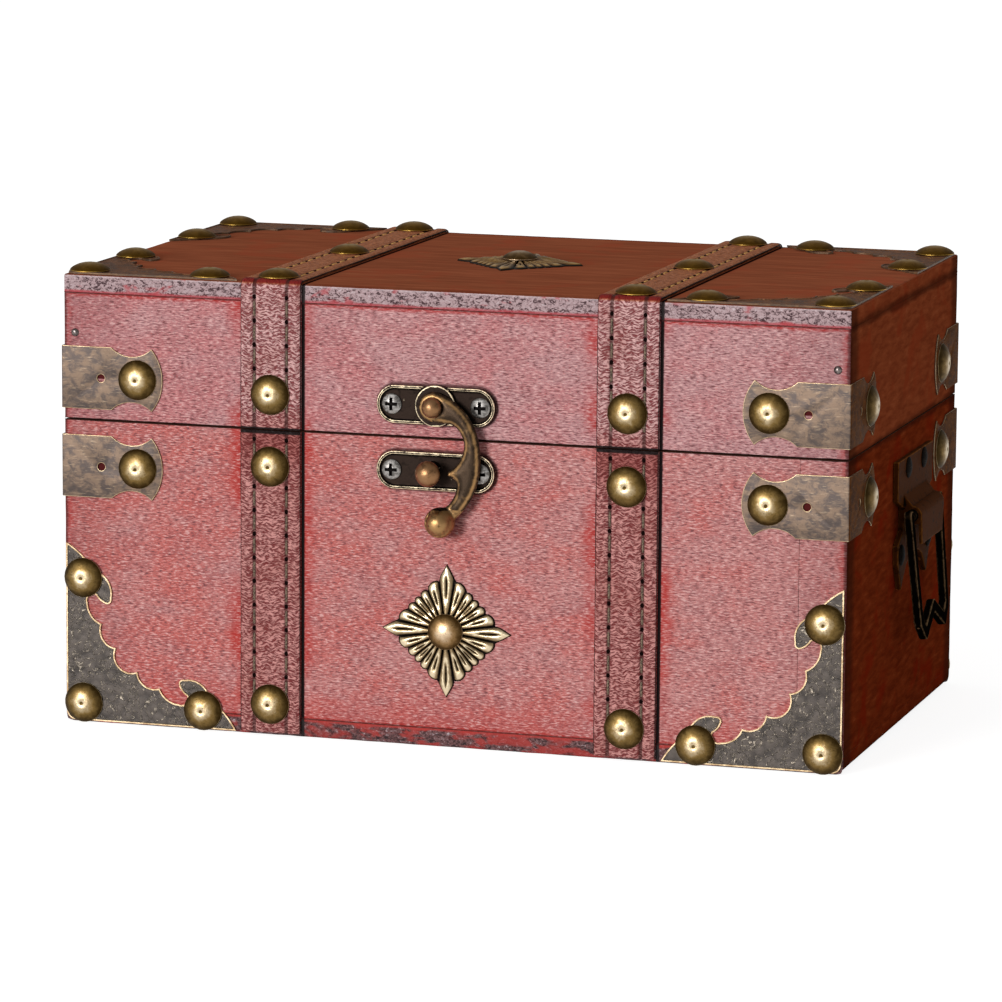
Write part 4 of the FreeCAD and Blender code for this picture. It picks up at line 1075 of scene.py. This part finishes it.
# %% Clips
CLIP_EDGE = 0.16 * MM
CLIP_BEVEL, CLIP_LEG = 1, 2
LEG_START = (HALF_WIDTH - 0.1) * MM
for node in [name for name in slot_of if "_clip_" in name]:
    piece = copy_of(node, node + "_bent")
    dress(piece, clip_sheet, bright_edge, clip_leg_shade)
    soften(piece, CLIP_EDGE, 2, material=CLIP_BEVEL)
    for face in piece.data.polygons:
        # the side legs take the brown finish: painted shade on the box's sides
        if abs(face.normal.x) > 0.7 and abs(face.center.x) > LEG_START:
            face.material_index = CLIP_LEG
    smooth(piece)
    settle(piece, node)
print(piece.name, len(piece.data.polygons), "faces")

# %% Corner plates
PLATE_RIM = 0.36 * MM
PLATE_STEP = 0.12 * MM
PLATE_SINK = 0.2 * MM
PLATE_ROUND = 2.4 * MM


def outer_face(node):
    """The direction in which a corner plate faces, how far out its face is, and its square corner."""
    low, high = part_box(node)
    axis = min(range(3), key=lambda index: (high - low)[index])
    outward = Vector((0, 0, 0))
    outward[axis] = 1.0 if (low + high)[axis] > 0 else -1.0
    corner = Vector((max(low.x, high.x, key=abs), max(low.y, high.y, key=abs), low.z))
    return outward, (high if outward[axis] > 0 else low).dot(outward), corner


def corner_plate(node, rim, field):
    """A plate with its square corner rounded, a raised rim and a sunk field."""
    piece = copy_of(node, node + "_scalloped", flat_faces=False)
    dress(piece, rim, field)
    piece.active_material_index = 1
    outward, level, corner = outer_face(node)

    def on_corner(*ends):
        return max((end - corner).cross(outward).length for end in ends) < NEAR

    with editing(piece, "EDGE", on_corner):
        bpy.ops.mesh.bevel(offset=PLATE_ROUND, segments=5)
    with editing(piece, "FACE", lambda centre: centre.dot(outward) > level - NEAR):
        bpy.ops.mesh.inset(thickness=PLATE_RIM)
        bpy.ops.mesh.delete(type="FACE")
        bpy.ops.mesh.select_mode(type="EDGE")
        bpy.ops.mesh.select_non_manifold(extend=False, use_wire=False, use_multi_face=False,
                                         use_non_contiguous=False, use_verts=False)
        bpy.ops.mesh.fill()
        bpy.ops.object.material_slot_assign()
        bpy.ops.mesh.select_all(action="SELECT")
        bpy.ops.mesh.normals_make_consistent(inside=False)
        bpy.ops.mesh.select_all(action="DESELECT")
        bpy.ops.object.material_slot_select()
        bpy.ops.mesh.inset(thickness=PLATE_STEP, depth=-PLATE_SINK)
    smooth(piece)
    settle(piece, node)
    return piece


for node in [name for name in slot_of if "_corner_plate_" in name]:
    # plates on the lid take a duller rim and a browner field: painted shade
    pair = (dull_edge, lid_plate_field_painted_shade) if node.startswith("lid") else (bright_edge, plate_field)
    piece = corner_plate(node, *pair)
print(piece.name, len(piece.data.polygons), "faces")

# %% [markdown]
# ## Rosettes
#
# Each rosette is a pressed star: four long pointed petals and five short ones between each pair,
# every petal a ridge with a slot down its middle. A grid bent into a disc takes the petals' ends
# from one formula and their ridges from another, which is quicker than modelling one petal and
# keeps neighbours joined. The narrow skirt round the outline carries a painted shadow, and the one
# on the lid takes a darker copy of the gold, as painted shade.

# %% Pale gold with dark grooves
def rosette_gold(name, groove, petal, crest, metallic):
    material, place = new_finish(name, metallic=metallic, specular=0.2)
    spots = cloud(place, 0.8, 4.0, 0.65)
    shade = kept_value(place, "crest") + (spots - 0.5) * 0.4
    colour = mix(ramp(shade, 0.3, 0.72), groove, petal)
    colour = mix(ramp(shade, 0.74, 1.0), colour, crest)
    return finish(material, colour, spots, 0.15, 0.5, 0.5 - ramp(shade, 0.3, 0.8) * 0.2)


gold = rosette_gold("rosette_gold", (16, 12, 9), (142, 121, 90), (218, 201, 168), 0.9)
# the lid's rosette takes this darker copy of the gold: painted shade
lid_gold_painted_shade = rosette_gold("dark_rosette_gold", (24, 16, 8), (104, 74, 40), (170, 136, 84), 0.3)
print(gold.name, lid_gold_painted_shade.name)

# %% The outline and ridges of the petals
PETALS = 24
LONG_EVERY = 6
LONG_TAPER = 0.22
SHORT_REACH, SHORT_TAPER = 0.955, 0.06
WIDEN = 0.06
SLOT_WIDTH, SLOT_DEPTH = 0.08, 0.9


def bounded(value):
    """A value kept between 0 and 1."""
    return min(1.0, max(0.0, value))


def spread(turn):
    """An angle moved so that the petals on the axes are widest."""
    return turn + WIDEN * math.sin(4 * turn)


def petal_reach(number, offset, reach):
    """How far a petal reaches at an offset from its middle line, -0.5 to 0.5."""
    if number % LONG_EVERY == 0:
        return reach * (1 - LONG_TAPER * abs(2 * offset) ** 0.9)
    turn = spread(math.radians(360 / PETALS) * (number + 0.6 * offset))
    diamond = reach / (abs(math.cos(turn)) + abs(math.sin(turn)))
    return SHORT_REACH * diamond * (1 - SHORT_TAPER * abs(2 * offset) ** 2)


def crest_of(offset, out):
    """How high on its ridge a point of a petal is, 0 in a groove and 1 on the crest."""
    side = 1 - abs(2 * offset) ** 2.8
    along = bounded((out - 0.32) / 0.12) * bounded((0.84 - out) / 0.1)
    return max(0.0, side - SLOT_DEPTH * math.exp(-(offset / SLOT_WIDTH) ** 2) * along)


print(PETALS, "petals, one in", LONG_EVERY, "long")

# %% Bend a grid into a rosette
STEPS_PER_PETAL = 10
AROUND = PETALS * STEPS_PER_PETAL
RINGS = 16
HUB = 4.2
SKIRT, SKIRT_STEP = 0.6, 0.25
GROOVE_HEIGHT = 0.3
RIDGE_HEIGHT, RIDGE_FALL, TIP_FALL = 1.05, 0.4, 0.45


def petal_point(step, ring, reach):
    """Place in mm and crest of the point at a step round the rosette and a ring out from its hub."""
    number = math.floor(step / STEPS_PER_PETAL + 0.5)
    offset = step / STEPS_PER_PETAL - number
    out = min(1.0, ring / (RINGS - 2))
    on_skirt = ring >= RINGS - 1
    far = petal_reach(number % PETALS, offset, reach) - (0 if on_skirt else SKIRT)
    radius = HUB + (far - HUB) * out
    ridge = crest_of(offset, out)
    tip = 1 - TIP_FALL * bounded((out - 0.85) / 0.15)
    height = GROOVE_HEIGHT + (RIDGE_HEIGHT - RIDGE_FALL * out) * ridge * tip
    turn = spread(math.tau * step / AROUND)
    place = Vector((math.cos(turn) * radius, math.sin(turn) * radius, height))
    if on_skirt:
        place.z = SKIRT_STEP * (RINGS - ring)
    # the skirt gets crest 0, so the finish paints it dark: a painted shadow round the outline
    return place, 0.0 if on_skirt else ridge * (0.5 + 0.5 * bounded(out / 0.3))


def rosette(node, stand, metal):
    """A rosette lying on z = 0 with its long petals on the axes, then moved by a matrix."""
    low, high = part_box(node)
    reach = (high - low).x / 2 / MM
    bpy.ops.mesh.primitive_grid_add(x_subdivisions=AROUND, y_subdivisions=RINGS, size=1)
    piece = fresh(node + "_star")
    crest = piece.data.attributes.new("crest", "FLOAT", "POINT")
    for vertex in piece.data.vertices:
        step, ring = round((vertex.co.x + 0.5) * AROUND), round((vertex.co.y + 0.5) * RINGS)
        place, crest.data[vertex.index].value = petal_point(step, ring, reach)
        vertex.co = place * MM
    face_outwards(piece, merge=True)
    cap(piece, lambda a, b: max(a.z, b.z) < NEAR)
    cap(piece, lambda a, b: max(a.xy.length, b.xy.length) < HUB * MM + NEAR)
    face_outwards(piece)
    piece.data.transform(stand)
    dress(piece, metal)
    smooth(piece, 50)
    settle(piece, node)
    return piece


# %% The two rosettes
QUARTER = math.radians(90)
ROSETTES = (
    ("base_rosette", Vector((0, -1, 0)), QUARTER, gold),
    ("lid_rosette", Vector((0, 0, 1)), 0.0, lid_gold_painted_shade),
)


def back_and_front(node, outward):
    """The middles of the back and the front of a node's box, for the direction in which it faces."""
    low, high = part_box(node)
    middle = (low + high) / 2
    out = abs((high - low).dot(outward)) / 2 * outward
    return middle - out, middle + out


for node, outward, tilt, metal in ROSETTES:
    stand = Matrix.Rotation(tilt, 4, "X")
    stand.translation = back_and_front(node, outward)[0]
    piece = rosette(node, stand, metal)
    print(piece.name, len(piece.data.polygons), "faces")

# %% The domed nail through each rosette
BOSS = {"radius": 4.9, "rim": 0.3, "rise": 1.9}
BOSS_HEIGHT = (BOSS["rim"] + BOSS["rise"]) * MM
BOSS_TURN = 0.6
boss = domed_head("boss", **BOSS)
dress(boss, boss_brass)
for rosette_node, outward, _, _ in ROSETTES:
    node = rosette_node + "_nail"
    seat = back_and_front(node, outward)[1] - outward * BOSS_HEIGHT
    piece = copy_onto(boss, seat, outward, BOSS_TURN)
    piece.name = node + "_dome"
    settle(piece, node)
    print(piece.name, "at", [round(value, 4) for value in seat])
bpy.data.objects.remove(boss)

# %% [markdown]
# ## Latch and handles
#
# These are cast pieces with no crisp edge anywhere. A voxel remesh of the construction's shape
# followed by a smoothing pass rounds every edge as casting and tumbling do, and gives enough
# points for the shader to find edges: the Pointiness of a dense mesh is high on rubbed edges and
# low in recesses. The hook also swells towards its middle, so its front is lowered along the rim,
# and a point attribute keeps a painted highlight line just inside the rim and the rubbed knob at
# its foot.

# %% Cast finishes: dark in recesses, golden on rubbed edges
POINTINESS = 7
RUB_AND_HIGHLIGHT_STRENGTH = 0.042


def cast_metal(name, edge, face, recess, rough, low=0.46, start=0.51, high=0.56, **shine):
    material, place = new_finish(name, **shine)
    point = place.node("ShaderNodeNewGeometry", output=POINTINESS)
    spots = cloud(place, 0.45, 4.0, 0.65, 0.5)
    fine = cloud(place, 2.2, 3.0, 0.6)
    # the rub attribute brightens rubbed places and, on the hook, a painted highlight line
    shade = point + kept_value(place, "rub") * RUB_AND_HIGHLIGHT_STRENGTH + (spots - 0.5) * 0.08
    colour = layers(
        mix(ramp(shade, low, 0.5), recess, face),
        (ramp(shade, start, high), edge),
        (ramp(spots, 0.46, 0.3) * 0.6, recess),
    )
    return finish(material, colour, fine * 0.4 + spots * 0.6, 0.15, 0.5, rough + spots * 0.2)


hook_bronze = cast_metal("hook_bronze", (160, 124, 82), (54, 43, 34), (30, 23, 17), 0.3, start=0.508,
                         metallic=1.0)
plate_bronze = cast_metal("plate_bronze", (238, 220, 186), (36, 28, 24), (18, 14, 12), 0.4, low=0.47,
                          start=0.515, high=0.535, metallic=1.0)
copper = cast_metal("pivot_copper", (214, 170, 134), (140, 104, 72), (66, 44, 28), 0.28, metallic=1.0)
handle_bronze = cast_metal("handle_bronze", (150, 94, 40), (78, 40, 12), (18, 9, 4), 0.6, high=0.58,
                           specular=0.02)
bail_bronze = cast_metal("bail_bronze", (150, 120, 86), (13, 10, 8), (8, 6, 5), 0.7, high=0.57,
                         specular=0.0)
print("cast finishes ready")

# %% Cast copies
FINE_VOXEL, HOOK_VOXEL, HANDLE_VOXEL = 0.2 * MM, 0.22 * MM, 0.26 * MM
POST_PROUD = 3.2 * MM
SMOOTHING = 0.5


def cast(node, voxel, passes, *finishes, proud=0.0):
    """A cast copy of a node; what stands proud of the box's front by a distance takes the second finish."""
    piece = copy_of(node, node + "_cast")
    shape(piece, "REMESH", mode="VOXEL", voxel_size=voxel)
    shape(piece, "SMOOTH", factor=SMOOTHING, iterations=passes)
    dress(piece, *finishes)
    if len(finishes) > 1:
        for face in piece.data.polygons:
            face.material_index = int(face.center.y < -HALF_DEPTH * MM - proud)
    only(piece)
    bpy.ops.object.shade_smooth()
    settle(piece, node)
    print(piece.name, len(piece.data.polygons), "faces")
    return piece


hook = cast("latch_hook", HOOK_VOXEL, 60, hook_bronze)
cast("latch_pivot", FINE_VOXEL, 4, copper)
cast("latch_plate", FINE_VOXEL, 3, plate_bronze)
cast("catch_plate", FINE_VOXEL, 3, plate_bronze, copper, proud=POST_PROUD)
for side in ("left", "right"):
    cast("handle_plate_" + side, HANDLE_VOXEL, 2, handle_bronze)
    cast("handle_bail_" + side, HANDLE_VOXEL, 3, bail_bronze)

# %% Swell the hook
SWELL_REACH = 2.6 * MM
SWELL_DROP = 0.8 * MM
KNOB = 7.6 * MM
FRONT_TURN = 0.6
HIGHLIGHT_LINE_PLACE, HIGHLIGHT_LINE_SPREAD = 0.3, 0.16


def swell(piece):
    """Lower the rim of a flat front, and mark a painted highlight line inside the rim and the rubbed knob
    at the foot.
    """
    points = piece.data.vertices
    rim = [point.co.copy() for point in points if abs(point.normal.y) < FRONT_TURN]
    tree = KDTree(len(rim))
    for index, place in enumerate(rim):
        tree.insert(place, index)
    tree.balance()
    foot = min(point.co.z for point in points)
    rub = piece.data.attributes.new("rub", "FLOAT", "POINT")
    for point in points:
        near = tree.find(point.co)[2] / SWELL_REACH
        in_front = point.normal.y < -FRONT_TURN
        # a painted highlight line just inside the rim; the knob is rubbed
        line = math.exp(-((near - HIGHLIGHT_LINE_PLACE) / HIGHLIGHT_LINE_SPREAD) ** 2) if in_front else 0.0
        rub.data[point.index].value = 1.0 if point.co.z < foot + KNOB else line
        if in_front:
            point.co.y += SWELL_DROP * max(0.0, 1 - near) ** 2


swell(hook)
shape(hook, "SMOOTH", factor=SMOOTHING, iterations=20)
print(hook.name, "swells by", SWELL_DROP / MM, "mm")

# %% [markdown]
# ## Screws, rivets, hinges and brads
#
# The small fixings keep the construction's own shapes: they only need a softer edge and a finish.
# The brads in the lid show only their heads, so these are spun as the domed nails are.

# %% Finishes of the small fixings
nickel = sheet_metal("nickel_screw", (206, 204, 200), (158, 154, 150), (96, 92, 88), 0.8, 0.34, 0.08)
black_slot = sheet_metal("black_slot", (40, 36, 34), (24, 21, 20), (12, 10, 10), 0.8, 0.6)
brad_steel = sheet_metal("brad_steel", (190, 182, 178), (128, 118, 114), (52, 44, 44), 0.8, 0.3)
hinge_bronze = sheet_metal("hinge_bronze", (128, 100, 68), (76, 56, 38), (36, 26, 18), (0.2, 0.2, 0.35),
                           0.42)
rivet_black = sheet_metal("rivet_black", (70, 58, 46), (30, 24, 20), (14, 11, 10), 0.5, 0.6, metallic=0.0,
                          specular=0.03)
print("fixing finishes ready")

# %% Screws with a black cross
CROSS_TOP, CROSS_FLOOR, CROSS_WALL = 0.7 * MM, 0.6 * MM, 0.5 * MM
WALL_AREA = 1.2 * MM * MM
SCREW_EDGE = 0.06 * MM


def in_cross(face, top):
    """Whether a face is the floor or a wall of the cross in a screw's head."""
    deep, turned = face.center.y - top, abs(face.normal.y)
    on_floor = 0 < deep < CROSS_FLOOR and turned > 0.9
    on_wall = deep < CROSS_WALL and turned < 0.2 and face.area < WALL_AREA
    return on_floor or on_wall


for node in ("latch_screws", "catch_screws"):
    piece = copy_of(node, node + "_turned")
    dress(piece, nickel, black_slot)
    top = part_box(node)[0].y + CROSS_TOP
    for face in piece.data.polygons:
        face.material_index = int(in_cross(face, top))
    soften(piece, SCREW_EDGE)
    smooth(piece)
    settle(piece, node)
print(piece.name, len(piece.data.polygons), "faces")

# %% Hinges, rivets and brads
WORKED_EDGE = 0.12 * MM
BRAD = {"radius": 1.1, "rim": 0.08, "rise": 0.55}
for node in [name for name in slot_of if "hinge" in name or name == "handle_rivets"]:
    piece = copy_of(node, node + "_worked")
    dress(piece, rivet_black if node == "handle_rivets" else hinge_bronze)
    soften(piece, WORKED_EDGE)
    smooth(piece)
    settle(piece, node)
piece = copy_of("base_brads", "base_brads_set")
dress(piece, brad_steel)
smooth(piece)
settle(piece, "base_brads")

brad = domed_head("brad", **BRAD)
dress(brad, brad_steel)
heads = [copy_onto(brad, *place, 0.0) for place in nail_places("lid_brads", 0.0, max)]
bpy.data.objects.remove(brad)
piece = joined(heads, "lid_brads_set")
settle(piece, "lid_brads")
print(piece.name, len(piece.data.polygons), "faces")

# %% [markdown]
# ## Floor, light and camera
#
# The box was photographed on white with one soft lamp in front on the left. A wide pale floor
# shows as white to the camera and in the metal, but keeps the box's shadow, because its own
# light is added only for those rays. A broad sun is the lamp, and a dim sky that is brighter on
# the lamp's side fills the shadows.

# %% Floor
FLOOR_RADIUS = 14
FLOOR_GREY = (0.4, 0.4, 0.4, 1)
FLOOR_DARK, FLOOR_GLOW = (0, 0, 0, 1), (0.86, 0.86, 0.86, 1)
bpy.ops.mesh.primitive_circle_add(vertices=96, radius=FLOOR_RADIUS, fill_type="NGON")
floor = fresh("floor")
floor_paint, _ = new_finish("floor_paint", roughness=0.9, specular=0.0)
floor_inputs = inputs_of(floor_paint)
floor_inputs["Base Color"].default_value = FLOOR_GREY
floor_inputs["Emission Strength"].default_value = 1.0
rays = floor_paint.node_tree.nodes.new("ShaderNodeLightPath")
seen = Wire(rays.outputs["Is Camera Ray"]).most(Wire(rays.outputs["Is Glossy Ray"]))
seen = seen.most(Wire(rays.outputs["Is Transmission Ray"]))
mix(seen, FLOOR_DARK, FLOOR_GLOW).feed(floor_inputs["Emission Color"])
dress(floor, floor_paint)
print("floor radius", FLOOR_RADIUS)

# %% Lamp and sky
KEY_TURN, KEY_RISE = math.radians(-22), math.radians(10)
KEY_POWER, KEY_BREADTH = 2.6, math.radians(24)
DIM_SKY, BRIGHT_SKY = (0.34, 0.33, 0.32, 1), (0.5, 0.5, 0.5, 1)


def direction(turn, rise):
    """The direction away from the box at a turn from its front and a rise from the floor."""
    return Vector((math.sin(turn) * math.cos(rise), -math.cos(turn) * math.cos(rise), math.sin(rise)))


bpy.ops.object.light_add(type="SUN")
key = bpy.context.active_object
key.name = "key_lamp"
key.data.energy = KEY_POWER
key.data.angle = KEY_BREADTH
towards = direction(KEY_TURN, KEY_RISE)
key.rotation_euler = towards.to_track_quat("Z", "Y").to_euler()

sky = bpy.data.worlds.new("soft_sky")
bpy.context.scene.world = sky
sky.use_nodes = True
glow = sky.node_tree.nodes["Background"]
ray = Wire(sky.node_tree.nodes.new("ShaderNodeTexCoord").outputs["Generated"])
facing = ray.node("ShaderNodeVectorMath", {"operation": "DOT_PRODUCT"}, {0: ray, 1: towards}, output=1)
mix(ramp(facing, -0.7, 0.9), DIM_SKY, BRIGHT_SKY).feed(glow.inputs["Color"])
print("lamp towards", [round(value, 2) for value in towards])

# %% Camera
TURN, RISE, ROLL = (math.radians(angle) for angle in (16.849, 9.313, 0.459))
DISTANCE = 1.4995
TARGET = Vector((0, 0, 0.062))
LENS = {"sensor_width": 36, "lens": 192.9, "shift_x": -0.0171, "shift_y": -0.0170, "clip_end": 60}
bpy.ops.object.camera_add()
camera = bpy.context.active_object
camera.name = "photo_camera"
back = direction(TURN, RISE)
right = Vector((math.cos(TURN), math.sin(TURN), 0))
up = back.cross(right)
right, up = math.cos(ROLL) * right + math.sin(ROLL) * up, math.cos(ROLL) * up - math.sin(ROLL) * right
turned = Matrix((right, up, back)).transposed().to_4x4()
camera.matrix_world = Matrix.Translation(TARGET + back * DISTANCE) @ turned
for name, value in LENS.items():
    setattr(camera.data, name, value)
bpy.context.scene.camera = camera
bpy.context.scene.view_settings.view_transform = "Standard"
print("camera at", [round(value, 3) for value in camera.location])
